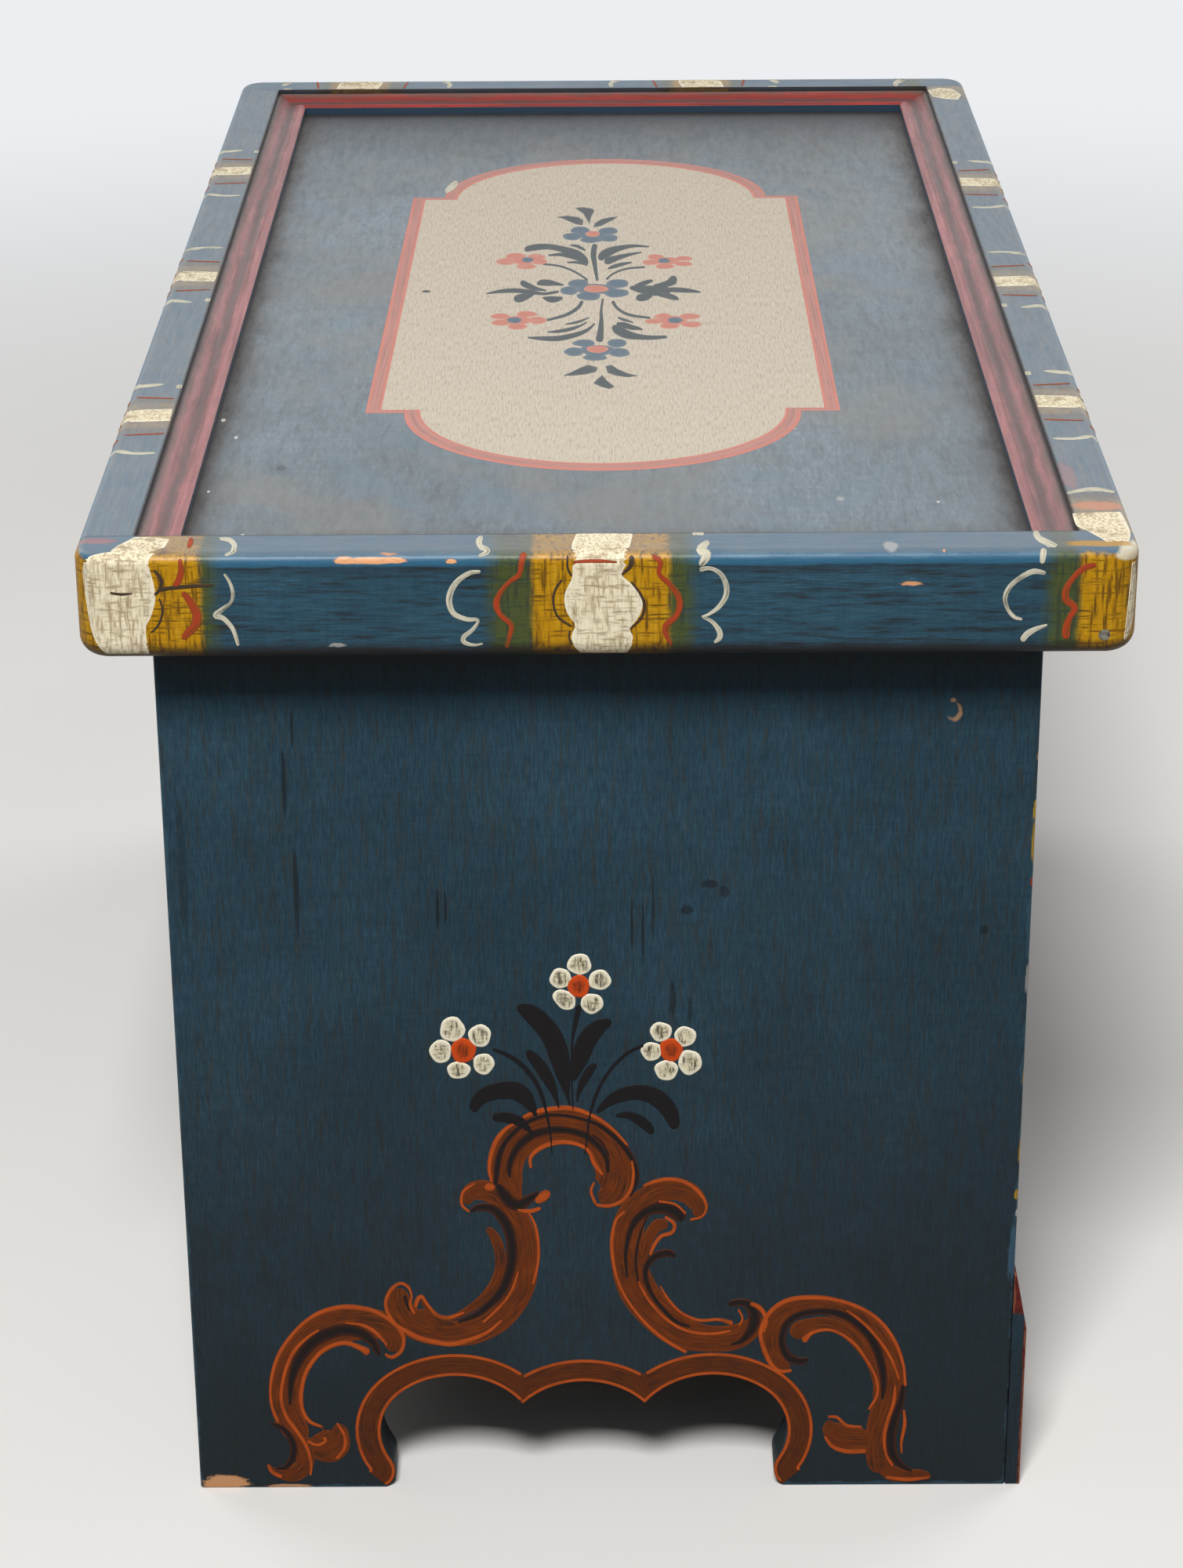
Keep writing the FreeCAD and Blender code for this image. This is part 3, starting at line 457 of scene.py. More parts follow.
def edgingBar(name, box, axis, bands, spots=()):
    # edging bar: blue brushed along the bar, dust and painted sheen on its top, a painted highlight on its top
    # arris with a darker band below it, and painted shade at its foot, with hatched ochre bands that fade over
    # green into the blue, and arrises rubbed lighter and chipped
    made, tree, shader, where = newMaterial(name)
    warm = axis == 1  # the end bars keep their ochre, on the long bars it has gone tan
    paint = brushed(tree, where, "barAcross" if warm else "barLong", edgingPaint, 1.0, 0.7)
    parts = xyz(tree, where)
    along, up = parts[axis], parts[2]
    top = box[1][2]
    colour = paint["Color"]
    cloud = minus(tree, noise(tree, where, 45.0, 4.0, 0.65), 0.5)
    level = plus(tree, up, times(tree, cloud, 0.008))
    arris = plus(tree, up, times(tree, cloud, 0.002))
    # painted highlight on the top arris: from just below the top round upwards the blue is blended brighter
    bright = times(tree, ease(tree, arris, top - 0.0062, top - 0.0050), 0.75)
    # a darker band on the face just below the painted highlight
    under = times(tree, ease(tree, arris, top - 0.0115, top - 0.0066),
                  ease(tree, arris, top - 0.0062, top - 0.0056, 0.4, 0.0))
    colour = blend(tree, under, colour, edgingPaint["streak"])
    colour = blend(tree, bright, colour, edgingPaint["arris"])
    edge = use(tree, boardEdges, {"Vector": where, "Low": box[0], "High": box[1], "Width": 0.004})["Edge"]
    colour = blend(tree, times(tree, edge, 0.4), colour, edgingPaint["worn"])
    fibreDown = noise(tree, vector(tree, "MULTIPLY", where, (560.0, 560.0, 60.0)), 1.0, 3.0, 0.6)
    fibreAcross = noise(tree, vector(tree, "MULTIPLY", where, (60.0, 60.0, 800.0)), 1.0, 3.0, 0.6)
    hatch = math(tree, "MAXIMUM", ease(tree, fibreDown, 0.49, 0.66), ease(tree, fibreAcross, 0.51, 0.68))
    rich = ease(tree, fibreDown, 0.46, 0.3, 0.0, 0.7)
    ochre = blend(tree, rich, edgingPaint["ochre" if warm else "tan"], edgingPaint["ochreLight"])
    ochre = blend(tree, times(tree, hatch, 0.85), ochre, edgingPaint["ochreDark" if warm else "tanDark"])
    bandEnd = edgingPaint["topBand"]
    cornerTop = ease(tree, math(tree, "ABSOLUTE", along), bandEnd, bandEnd + 0.006)
    cornerTop = times(tree, cornerTop, ease(tree, level, top - 0.0035, top - 0.001))
    shown = minus(tree, 1.0, cornerTop, True) if warm else 1.0
    green = edgingPaint["green" if warm else "tanDark"]
    green = blend(tree, times(tree, hatch, 0.6), green, edgingPaint["streak"])
    for narrow, wide in bands:
        for (middle, half, soft), share, laid in ((wide, 0.9, green), (narrow, 1.0, ochre)):
            given = {"Vector": where, "Along": along, "Middle": middle, "Half": half, "Soft": soft}
            fade = times(tree, use(tree, bandFade, given)["Mask"], share)
            colour = blend(tree, times(tree, fade, shown), colour, laid)
    drawn = vector(tree, "MULTIPLY", where, edgingPaint["fibreWays"][axis])
    fibre = shaken(tree, drawn, 1.0, 3.0, 0.6, edgingPaint["fibreShare"][axis])
    # dust and painted sheen: the flat top is blended towards a pale grey, more on the long bars than on the
    # end bars
    dustAndSheenShare = plus(tree, times(tree, cloud, 0.5), edgingPaint["dustAndSheenShare"][axis])
    dustAndSheen = times(tree, ease(tree, up, top - 0.0016, top - 0.0006), plus(tree, dustAndSheenShare, fibre, True))
    colour = blend(tree, dustAndSheen, colour, edgingPaint["dust"])
    # painted shade on the downward facing foot round: the bottom of the bar is blended towards a near black
    # brown
    foot = ease(tree, level, box[0][2] + 0.003, box[0][2] + 0.010, 0.85, 0.0)
    colour = blend(tree, foot, colour, edgingPaint["foot"])
    inner = min(abs(box[0][1 - axis]), abs(box[1][1 - axis]))
    seam = ease(tree, math(tree, "ABSOLUTE", parts[1 - axis]), inner + 0.0004, inner + 0.0012, 0.85, 0.0)
    colour = blend(tree, seam, colour, edgingPaint["foot"])
    height = minus(tree, paint["Height"], times(tree, hatch, 0.1))
    colour, height = chipped(tree, where, colour, height, spots, 0.6)
    finishSurface(tree, shader, colour, paint["Roughness"], height, 0.0006, 0.55)
    varnish(shader, 0.0, 0.12)
    plug(tree, ease(tree, up, top - 0.004, top - 0.001, 0.06, 0.45), shader.inputs["Coat Weight"])
    return made


# one red paint in two copies: paler and pinker with painted sheen on three strips, darker and redder on the
# far strip
mouldingPaint = dict(
    base=tint(152, 92, 92), streak=tint(104, 70, 68), rubbed=tint(178, 118, 114), hollow=tint(72, 54, 50),
    gap=tint(34, 28, 26), darkening=tint(78, 66, 54), blue=tint(28, 52, 70))
farMouldingShadedPaint = dict(base=tint(146, 40, 32), streak=tint(84, 32, 28), rubbed=tint(168, 66, 54))


def mouldingStrip(name, axis, outer, colours, coat):
    # moulding strip: pink brushed along the strip, a brown glaze left in its hollow, dark where it meets the
    # edging, and blue on the upright inner face, which is told by the direction of the surface
    made, tree, shader, where = newMaterial(name)
    paint = brushed(tree, where, "stripLong" if axis == 1 else "stripAcross", colours, 0.7, 0.6)
    across = xyz(tree, where)[axis]
    inwards = math(tree, "ABSOLUTE", minus(tree, across, outer))
    shake = shaken(tree, where, 40.0, 5.0, 0.65, 0.006)
    middle = math(tree, "ABSOLUTE", plus(tree, minus(tree, inwards, 0.0095), shake))
    glaze = ease(tree, middle, 0.0004, 0.0050, 0.85, 0.0)
    colour = blend(tree, glaze, paint["Color"], mouldingPaint["hollow"])
    darkening = ease(tree, plus(tree, inwards, shake), 0.0010, 0.0060, 0.8, 0.0)
    colour = blend(tree, darkening, colour, mouldingPaint["darkening"])
    gap = ease(tree, plus(tree, inwards, times(tree, shake, 0.3)), 0.0006, 0.0028, 0.9, 0.0)
    colour = blend(tree, gap, colour, mouldingPaint["gap"])
    up = xyz(tree, node(tree, "TexCoord").outputs["Normal"])[2]
    colour = blend(tree, ease(tree, up, 0.3, 0.55, 1.0, 0.0), colour, mouldingPaint["blue"])
    finishSurface(tree, shader, colour, paint["Roughness"], paint["Height"], 0.0004, 0.5)
    varnish(shader, coat)
    return made


fieldPaint = dict(
    base=tint(92, 105, 112), streak=tint(74, 81, 84), rubbed=tint(112, 127, 136), glaze=tint(46, 39, 35),
    dust=tint(112, 109, 104), blue=tint(88, 108, 120), shadow=tint(54, 60, 64), farEnd=0.16, farDull=0.2,
    fleckPale=tint(206, 208, 206), stain=tint(24, 24, 24), white=tint(196, 192, 184), tucked=0.018)


def fieldBoard(name, box, spots):
    # lid board: blue-grey field brushed along the lid with browner and bluer clouds, darker at the far end,
    # dark glaze and painted shade of the mouldings along their edges, and bare pine on the underside
    made, tree, shader, where = newMaterial(name)
    paint = brushed(tree, where, "field", fieldPaint, 0.5, 0.5)
    parts = xyz(tree, where)
    drift = vector(tree, "MULTIPLY", where, (8.0, 11.0, 1.0))
    brown = ease(tree, noise(tree, drift, 1.0, 5.0, 0.62, 0.5), 0.46, 0.66, 0.0, 0.6)
    colour = blend(tree, brown, paint["Color"], fieldPaint["dust"])
    blue = ease(tree, noise(tree, drift, 1.7, 5.0, 0.62, 0.5), 0.5, 0.68, 0.0, 0.55)
    colour = blend(tree, blue, colour, fieldPaint["blue"])
    endAt, sideAt = box[1][0] - fieldPaint["tucked"], box[1][1] - fieldPaint["tucked"]
    near = math(tree, "MINIMUM", minus(tree, sideAt, math(tree, "ABSOLUTE", parts[1])),
                minus(tree, endAt, math(tree, "ABSOLUTE", parts[0])))
    shake = shaken(tree, where, 20.0, 5.0, 0.65, 0.03)
    reach = minus(tree, near, shake)
    farWay = minus(tree, endAt, plus(tree, parts[0], times(tree, shake, 2.0)))
    farShade = ease(tree, farWay, 0.0, fieldPaint["farEnd"], 0.95, 0.0)
    colour = blend(tree, farShade, colour, fieldPaint["shadow"])
    # dark glaze with painted shade of the mouldings: a wide band, and a narrow near black one at the field's
    # edge
    colour = blend(tree, ease(tree, reach, -0.006, 0.026, 0.88, 0.0), colour, fieldPaint["glaze"])
    colour = blend(tree, ease(tree, near, 0.001, 0.010, 0.9, 0.0), colour, fieldPaint["glaze"])
    pale = use(tree, flecks, {"Vector": where, "Scale": 55.0, "Size": 0.06, "Amount": 0.03})["Mask"]
    colour = blend(tree, times(tree, pale, 0.6), colour, fieldPaint["fleckPale"])
    wood = use(tree, pineGrain, {"Vector": where, "Stretch": grainWays["long"]})
    bare = ease(tree, parts[2], box[0][2] + 0.0004, box[0][2] + 0.0008, 1.0, 0.0)
    colour = blend(tree, bare, colour, wood["Color"])
    colour, height = chipped(tree, where, colour, paint["Height"], spots, 0.4)
    finishSurface(tree, shader, colour, paint["Roughness"], height, 0.0004, 0.5)
    varnish(shader)
    coat = ease(tree, reach, -0.002, 0.014, 0.04, 0.45)
    coat = times(tree, coat, ease(tree, farWay, 0.0, fieldPaint["farDull"], 0.5, 1.0))
    plug(tree, coat, shader.inputs["Coat Weight"])
    return made


plinthPaint = dict(base=tint(98, 38, 32), streak=tint(54, 26, 24), rubbed=tint(130, 66, 52),
                   worn=tint(140, 88, 66), endRed=0.0016, slope=0.100)


def plinthBoard(name, box):
    # front plinth: red-brown brushed along the board; its two ends are blue up to the slope of its top
    made, tree, shader, where = newMaterial(name)
    paint = brushed(tree, where, "stripLong", plinthPaint, 0.8, 0.5)
    edge = use(tree, boardEdges, {"Vector": where, "Low": box[0], "High": box[1], "Width": 0.0025})["Edge"]
    colour = blend(tree, times(tree, edge, 0.6), paint["Color"], plinthPaint["worn"])
    parts = xyz(tree, where)
    atEnd = ease(tree, math(tree, "ABSOLUTE", parts[0]), box[1][0] - 0.0008, box[1][0] - 0.0003)
    shake = shaken(tree, where, 60.0, 4.0, 0.6, 0.002)
    inwards = minus(tree, plus(tree, parts[1], shake), box[0][1])
    below = plus(tree, minus(tree, plinthPaint["slope"], parts[2]), times(tree, shake, 4.0))
    blueShare = times(tree, ease(tree, inwards, 0.0008, plinthPaint["endRed"]), ease(tree, below, 0.0, 0.003))
    blue = brushedBlue(tree, where, "endUpright")["Color"]
    # the blue ends get darker towards the floor, as the end boards do
    blue = blend(tree, ease(tree, parts[2], 0.0, 0.2, 0.68, 0.2), blue, blueBoards["low"])
    colour = blend(tree, times(tree, atEnd, blueShare), colour, blue)
    finishSurface(tree, shader, colour, paint["Roughness"], paint["Height"], 0.0005, 0.5, blueBoards["gloss"])
    return made


def metal(name, base, dark, rough, metallic):
    # old iron: base metal with darker oxide clouds and a fine pitted surface
    made, tree, shader, where = newMaterial(name)
    cloud = noise(tree, where, 90.0, 5.0, 0.65)
    pits = noise(tree, where, 900.0, 3.0, 0.6)
    oxide = ease(tree, cloud, 0.42, 0.66)
    colour = blend(tree, oxide, base, dark)
    shader.inputs["Metallic"].default_value = metallic
    finishSurface(tree, shader, colour, ease(tree, cloud, 0.3, 0.7, rough, rough + 0.25), pits, 0.0002, 0.4)
    return made


def paintedHead(name, base, dark):
    # nail head under the paint: board colour with grime gathered round it
    made, tree, shader, where = newMaterial(name)
    cloud = noise(tree, where, 240.0, 4.0, 0.65)
    colour = blend(tree, ease(tree, cloud, 0.4, 0.62), base, dark)
    finishSurface(tree, shader, colour, ease(tree, cloud, 0.3, 0.7, 0.45, 0.65), cloud, 0.0004, 0.5)
    return made


def dress(name, material):
    for one in nodes[name].material_slots:
        one.material = material


rim = dict(top=0.506, width=0.025, topRound=0.005, footRound=0.009, corner=0.014, halfDepth=0.233,
           halfLength=0.440, over=0.0022, inner=0.0002, blockCount=34)
lidBands = dict(
    near=((0.0025, 0.0280, 0.0070, 0.0390), (0.2125, 0.0330, 0.2125, 0.0365),
          (-0.2275, 0.0190, -0.2275, 0.0300)),
    soft=0.004, greenSoft=0.010,
    backPlaces=(-0.2476, -0.0095, 0.2116), frontPlaces=(-0.2336, -0.0271, 0.1768),
    frontEnds=((-0.395, 0.022), (0.408, 0.018)), sideHalf=0.0155, sideSoft=0.006, sideGreen=0.021,
    sideGreenSoft=0.012, farPlaces=(0.156, -0.063), endLess=0.004, endMore=0.002)

# each band is its ochre and its green, as (middle, half width, soft width)
nearBands = [((middle, half, lidBands["soft"]), (green, greenHalf, lidBands["greenSoft"]))
             for middle, half, green, greenHalf in lidBands["near"]]


def sideBands(places, ends=()):
    # bands along a bar, and those at its ends where it meets the lid's corners
    rows = [(place, lidBands["sideHalf"], lidBands["sideGreen"]) for place in places]
    rows += [(place, half - lidBands["endLess"], half + lidBands["endMore"]) for place, half in ends]
    return [((place, half, lidBands["sideSoft"]), (place, green, lidBands["sideGreenSoft"]))
            for place, half, green in rows]


bareEdging, bareBlue = edgingPaint["bare"], blueBoards["bare"]
lidChips = [((-0.4395, 0.1025, 0.5028), (0.004, 0.0130, 0.0016), 1.0, bareEdging, 1.0),
            ((-0.4395, 0.0925, 0.5029), (0.004, 0.0060, 0.0014), 1.3, bareEdging, 1.0),
            ((-0.4395, 0.1140, 0.5030), (0.004, 0.0050, 0.0017), 0.8, bareEdging, 1.0),
            ((-0.4350, -0.2290, 0.5035), (0.012, 0.0085, 0.0036), 0.8, tint(216, 206, 180), 0.85),
            ((-0.4395, 0.0676, 0.5024), (0.004, 0.0026, 0.0011), 1.2, bareEdging, 1.0),
            ((-0.440, -0.1327, 0.4911), (0.004, 0.0050, 0.0011), 1.8, bareEdging, 0.9)]
lidChips += seenSpots(0, -rim["halfLength"], edgingPaint, [
    (495, 708, 14, 3, 1.6, "bare", 0.6), (1205, 704, 3, 3, 0.5, "bare", 0.8),
    (430, 823, 12, 3, 1.8, "white", 0.6)])
lidChips += seenSpots(2, rim["top"], edgingPaint, [
    (122, 690, 26, 4, 1.4, "smear", 0.55), (1136, 696, 9, 6, 1.0, "white", 0.45),
    (1402, 693, 44, 4, 1.2, "ochre", 0.8)])
frontChips = seenSpots(2, rim["top"], edgingPaint, [
    (1401, 645, 34, 6, 0.8, "coral", 0.75), (1362, 606, 3, 20, 1.6, "smear", 0.35)])
caseFace = caseBox[0][0]
footChips = [((caseFace, 0.1915, 0.0028), (0.006, 0.0125, 0.0046), 1.3, bareBlue, 1.0),
             ((caseFace, 0.1600, 0.0006), (0.006, 0.0120, 0.0012), 1.2, bareBlue, 0.8)]
endMarks = seenSpots(0, caseFace, blueBoards, [
    (1218, 908, 10, 13, 0.5, "scar", 0.9), (1214, 905, 9.5, 12, 0.5, "base", 1.0),
    (1216, 893, 4, 3, 0.6, "scar", 0.9), (372, 930, 1.0, 26, 0.9, "stain", 0.7),
    (362, 1000, 1.2, 46, 1.0, "stain", 0.7), (378, 1140, 1.2, 60, 1.0, "stain", 0.6),
    (558, 1160, 1.7, 28, 1.0, "stain", 0.7), (568, 1158, 1.7, 24, 1.0, "stain", 0.7),
    (806, 1180, 1.8, 36, 1.0, "stain", 0.7), (820, 1190, 1.8, 46, 1.0, "stain", 0.7),
    (833, 1160, 1.6, 40, 1.0, "stain", 0.6), (905, 1128, 12, 6, 1.5, "stain", 0.6),
    (924, 1138, 7, 8, 1.5, "stain", 0.6), (876, 1161, 9, 6, 1.5, "stain", 0.6),
    (858, 1275, 4.5, 24, 2.0, "stain", 0.6), (880, 1290, 3.5, 16, 2.0, "stain", 0.5),
    (1255, 1187, 6, 6, 1.2, "stain", 0.6), (896, 1713, 5, 1.5, 0.8, "white", 0.8),
    (233, 1110, 1.4, 84, 1.8, "stain", 0.35), (1276, 1733, 26, 1.0, 0.9, "white", 0.55),
    (1246, 1884, 1.4, 10, 0.5, "stain", 1.0), (1262, 1872, 16, 4, 1.6, "rub", 0.9),
    (1280, 1882, 16, 6, 1.4, "rub", 0.8), (1004, 1825, 6, 28, 1.6, "rub", 0.6),
    (205, 1806, 2, 2, 0.5, "white", 0.8), (602, 1350, 14, 2, 1.4, "scar", 0.5)])
arrisMarks = seenSpots(0, caseFace, blueBoards, [
    (1321, 1034, 3, 14, 1.2, "ochre", 1.0), (1319, 1075, 2.2, 28, 1.0, "ochre", 0.9),
    (1317, 1125, 3, 6, 0.8, "red", 1.0), (1325, 965, 2.5, 6, 1.0, "scar", 0.8),
    (1310, 1250, 1.6, 20, 1.4, "white", 0.5), (1307, 1375, 2.5, 14, 1.2, "ochre", 0.7),
    (1302, 1470, 2.4, 18, 1.2, "ochre", 0.9), (1297, 1524, 3.5, 7, 1.0, "ochre", 0.9),
    (1297, 1548, 1.6, 5, 0.8, "white", 0.9), (1292, 1600, 5, 40, 1.6, "rub", 0.5),
    (1297, 1778, 2.5, 2.5, 0.8, "white", 0.9), (1299, 1864, 4, 8, 1.2, "scar", 0.8)])
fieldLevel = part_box("lid_board")[1].z
fieldMarks = seenSpots(2, fieldLevel, fieldPaint, [
    (359, 597, 6, 4, 1.4, "stain", 0.6), (1072, 636, 5, 3, 1.4, "white", 0.35),
    (285, 536, 2.6, 2.2, 0.6, "white", 0.9), (301, 558, 2.0, 2.0, 0.6, "white", 0.9),
    (266, 627, 1.5, 1.6, 0.5, "white", 0.9), (1197, 640, 2.2, 1.6, 0.6, "white", 0.8)])


def dressBoards():
    for name, way, grain, endWay, marks in (
            ("left_end_panel", "endUpright", "upright", None, footChips + endMarks),
            ("right_end_panel", "endUpright", "upright", None, ()),
            ("front_panel", "frontLevel", "long", "endUpright", arrisMarks),
            ("back_panel", "frontLevel", "long", "endUpright", ())):
        dress(name, blueBoard(name + "_paint", corners(name), way, grainWays[grain], endWay, marks))
    dress("front_plinth", plinthBoard("plinth_paint", corners("front_plinth")))
    for grain, names in (("long", ("bottom_board_front", "bottom_board_middle", "bottom_board_back",
                                   "front_cleat", "back_cleat")), ("deep", ("left_cleat", "right_cleat"))):
        for name in names:
            dress(name, pineBoard(name + "_pine", grainWays[grain]))
    dress("lid_board", fieldBoard("lid_field_paint", corners("lid_board"), fieldMarks))
    for paint, side, axis, bands, chips in (
            ("near", "left", 1, nearBands, lidChips),
            ("far", "right", 1, sideBands(lidBands["farPlaces"]) + nearBands[2:], ()),
            ("front", "front", 0, sideBands(lidBands["frontPlaces"], lidBands["frontEnds"]), frontChips),
            ("back", "back", 0, sideBands(lidBands["backPlaces"]), ())):
        name = f"lid_{side}_edging"
        dress(name, edgingBar(paint + "_edging_paint", corners(name), axis, bands, chips))
    insideDepth, insideLength = rim["halfDepth"] - rim["width"], rim["halfLength"] - rim["width"]
    for side, axis, outer, paint, coat in (("front", 1, -insideDepth, mouldingPaint, 0.4),
                                           ("back", 1, insideDepth, mouldingPaint, 0.4),
                                           ("left", 0, -insideLength, mouldingPaint, 0.4),
                                           ("right", 0, insideLength, farMouldingShadedPaint, 0.15)):
        name = f"lid_{side}_moulding"
        dress(name, mouldingStrip(name + "_paint", axis, outer, paint, coat))
    iron = metal("hinge_iron", tint(112, 108, 102), tint(70, 52, 42), 0.42, 0.85)
    steel = metal("pin_steel", tint(150, 148, 144), tint(92, 84, 76), 0.32, 0.95)
    screws = metal("screw_steel", tint(132, 128, 122), tint(84, 66, 54), 0.38, 0.9)
    blueHead = paintedHead("blue_nail_heads", tint(34, 62, 82), tint(20, 36, 48))
    redHead = paintedHead("red_nail_heads", tint(108, 46, 36), tint(60, 28, 24))
    greyHead = paintedHead("grey_nail_heads", tint(128, 126, 112), tint(62, 58, 50))
    for material, names in (
            (iron, ("left_hinge_case_leaf", "right_hinge_case_leaf", "left_hinge_lid_leaf",
                    "right_hinge_lid_leaf")),
            (steel, ("left_hinge_pin", "right_hinge_pin")),
            (screws, ("case_leaf_screws", "lid_leaf_screws", "bottom_nails")),
            (blueHead, ("front_nails", "back_nails")), (redHead, ("plinth_nails",)),
            (greyHead, ("lid_corner_nails",))):
        for name in names:
            dress(name, material)


dressBoards()
print("boards painted")


# paint films: brush strokes and dabs of paint as thin closed skins on the boards

film = dict(body=0.00014, shade=0.00022, stem=0.000242, ground=0.000264, line=0.00030, leaf=0.000345,
            heart=0.00036, scuff=0.00039, sprayHeart=0.00042, sink=0.00008)
strokeSection = np.array([(-1.0, 0.0), (-0.9, 0.75), (0.0, 1.0), (0.9, 0.75), (1.0, 0.0)])
dabSection = np.array([(0.3, 1.0), (0.72, 0.98), (0.92, 0.8), (1.0, 0.0)])
ribbonAcross = np.linspace(-1, 1, 15)
ribbonCrown = np.interp(ribbonAcross, [-1, -0.85, 0, 0.85, 1], [0, 0.75, 1, 0.75, 0])
ribbonSection = np.column_stack([ribbonAcross, ribbonCrown])


def smoothCurve(points, count):
    # cubic through the points: each span leaves and meets its ends along the line between their neighbours;
    # samples crowd towards both ends, as the cosine does
    pts = np.asarray(points, float)
    far = np.vstack([2 * pts[0] - pts[1], pts, 2 * pts[-1] - pts[-2]])
    u = (len(pts) - 1) * (1 - np.cos(np.pi * np.linspace(0, 1, count))) / 2
    i = np.minimum(u.astype(int), len(pts) - 2)
    f = (u - i)[:, None]
    a, b, c, d = far[i], far[i + 1], far[i + 2], far[i + 3]
    return (2 * b + (c - a) * f + (2 * a - 5 * b + 4 * c - d) * f ** 2 + (3 * b - a - 3 * c + d) * f ** 3) / 2


def runAlong(line):
    # length of a line of points from its start to each point
    return np.concatenate([[0], np.cumsum(np.linalg.norm(np.diff(line, axis=0), axis=1))])


def outwards(spots, axis, way):
    # points on a flat face with the face's direction at each of them
    normal = np.zeros_like(spots)
    normal[..., axis] = way
    return spots, normal


def brushStroke(place, width, points, lift):
    # a flat lens section carried along a smooth curve: half the width is set off to both sides of the curve,
    # rounded off at both ends as a circle is, and the whole is laid on the board by place
    pts = np.asarray(points, float)
    if len(pts) == 2:
        pts = np.vstack([pts[0], pts.mean(0), pts[1]])
    given = np.atleast_1d(np.asarray(width, float))
    widths = np.interp(np.linspace(0, 1, len(pts)), np.linspace(0, 1, len(given)), given)
    count = int(np.clip(7 * len(pts), 16, 90))
    curve = smoothCurve(np.column_stack([pts, widths]), count)
    line, half = curve[:, :2], np.maximum(curve[:, 2], 0) / 2
    step = np.gradient(line, axis=0)
    step /= np.maximum(np.linalg.norm(step, axis=1, keepdims=True), 1e-12)
    side = np.column_stack([-step[:, 1], step[:, 0]])
    run = runAlong(line)
    toEnd = np.minimum(run, run[-1] - run)
    rounding = np.sqrt(np.clip(1 - (1 - np.clip(toEnd / np.maximum(half, 1e-9), 0, 1)) ** 2, 0.002, 1))
    half = half * rounding
    flat = line[:, None] + side[:, None] * half[:, None, None] * strokeSection[None, :, 0:1]
    spots, normal = place(flat)
    top = spots + normal * (strokeSection[None, :, 1:2] * lift * np.minimum(1, rounding + 0.2)[:, None, None])
    under = spots[:, [-1, 0]] - normal[:, [-1, 0]] * film["sink"]
    ring = np.concatenate([top, under], axis=1)
    along = runAlong(spots[:, 2])
    wide = np.linalg.norm(spots[:, -1] - spots[:, 0], axis=1)
    spread = np.concatenate([strokeSection[:, 0], [1, -1]]) / 2
    uv = np.stack([np.broadcast_to(along[:, None], ring.shape[:2]), wide[:, None] * spread[None]], axis=-1)
    rimShare = np.broadcast_to(np.abs(spread)[None] * 2, ring.shape[:2])
    return (*joinRows(ring, uv, normal, len(ring) // 2, 2), rimShare.ravel())


def joinRows(rows, uv, normal, row, column):
    # closed rows of equal count joined by quads, the first and the last row closed by one face each; the
    # order is turned round if the skin would look down at the given row and column
    n, k = rows.shape[:2]
    i, j = np.meshgrid(np.arange(n - 1), np.arange(k), indexing="ij")
    nextJ = (j + 1) % k
    quads = np.stack([i * k + j, (i + 1) * k + j, (i + 1) * k + nextJ, i * k + nextJ], axis=-1).reshape(-1, 4)
    caps = [list(range(k)), list(range((n - 1) * k, n * k))[::-1]]
    here = rows[row, column]
    if np.cross(rows[row + 1, column] - here, rows[row, column + 1] - here) @ normal[row, column] < 0:
        quads = quads[:, ::-1]
        caps = [cap[::-1] for cap in caps]
    return rows.reshape(-1, 3), quads, caps, uv.reshape(-1, 2)


def paintDab(place, outline, lift, grain=None):
    # a patch of paint: the outline shrunk towards its middle in steps, crowned by the dab section and
    # sunk a little under its rim; its UV map runs along the grain, or towards the outline's first point
    outline = np.asarray(outline, float)
    middle = outline.mean(0)
    shares = np.concatenate([dabSection[:, 0], [0.97]])
    flat = middle + (outline - middle)[None] * shares[:, None, None]
    spots, normal = place(flat)
    heights = np.concatenate([dabSection[:, 1] * lift, [-film["sink"]]])
    rows = spots + normal * heights[:, None, None]
    away = spots - spots.mean((0, 1))
    first = away[-1, 0] / max(np.linalg.norm(away[-1, 0]), 1e-9) if grain is None else np.array(grain, float)
    second = np.cross(normal[0, 0], first)
    across = np.stack([away @ first, away @ second], axis=-1)
    rimShare = np.broadcast_to(shares[:, None], rows.shape[:2])
    return (*joinRows(rows, across, normal, 0, 0), rimShare.ravel())


def oval(cx, cy, rx, ry, turn=0.0, count=26):
    # points round an ellipse, turned by an angle in degrees; two slow waves make it as uneven as a brush does
    a = np.linspace(0, 2 * np.pi, count, endpoint=False)
    t = np.radians(turn)
    uneven = 1 + 0.035 * np.cos(3 * a + cx) + 0.025 * np.cos(5 * a + cy)
    x, y = rx * np.cos(a) * uneven, ry * np.sin(a) * uneven
    return np.column_stack([cx + x * np.cos(t) - y * np.sin(t), cy + x * np.sin(t) + y * np.cos(t)])


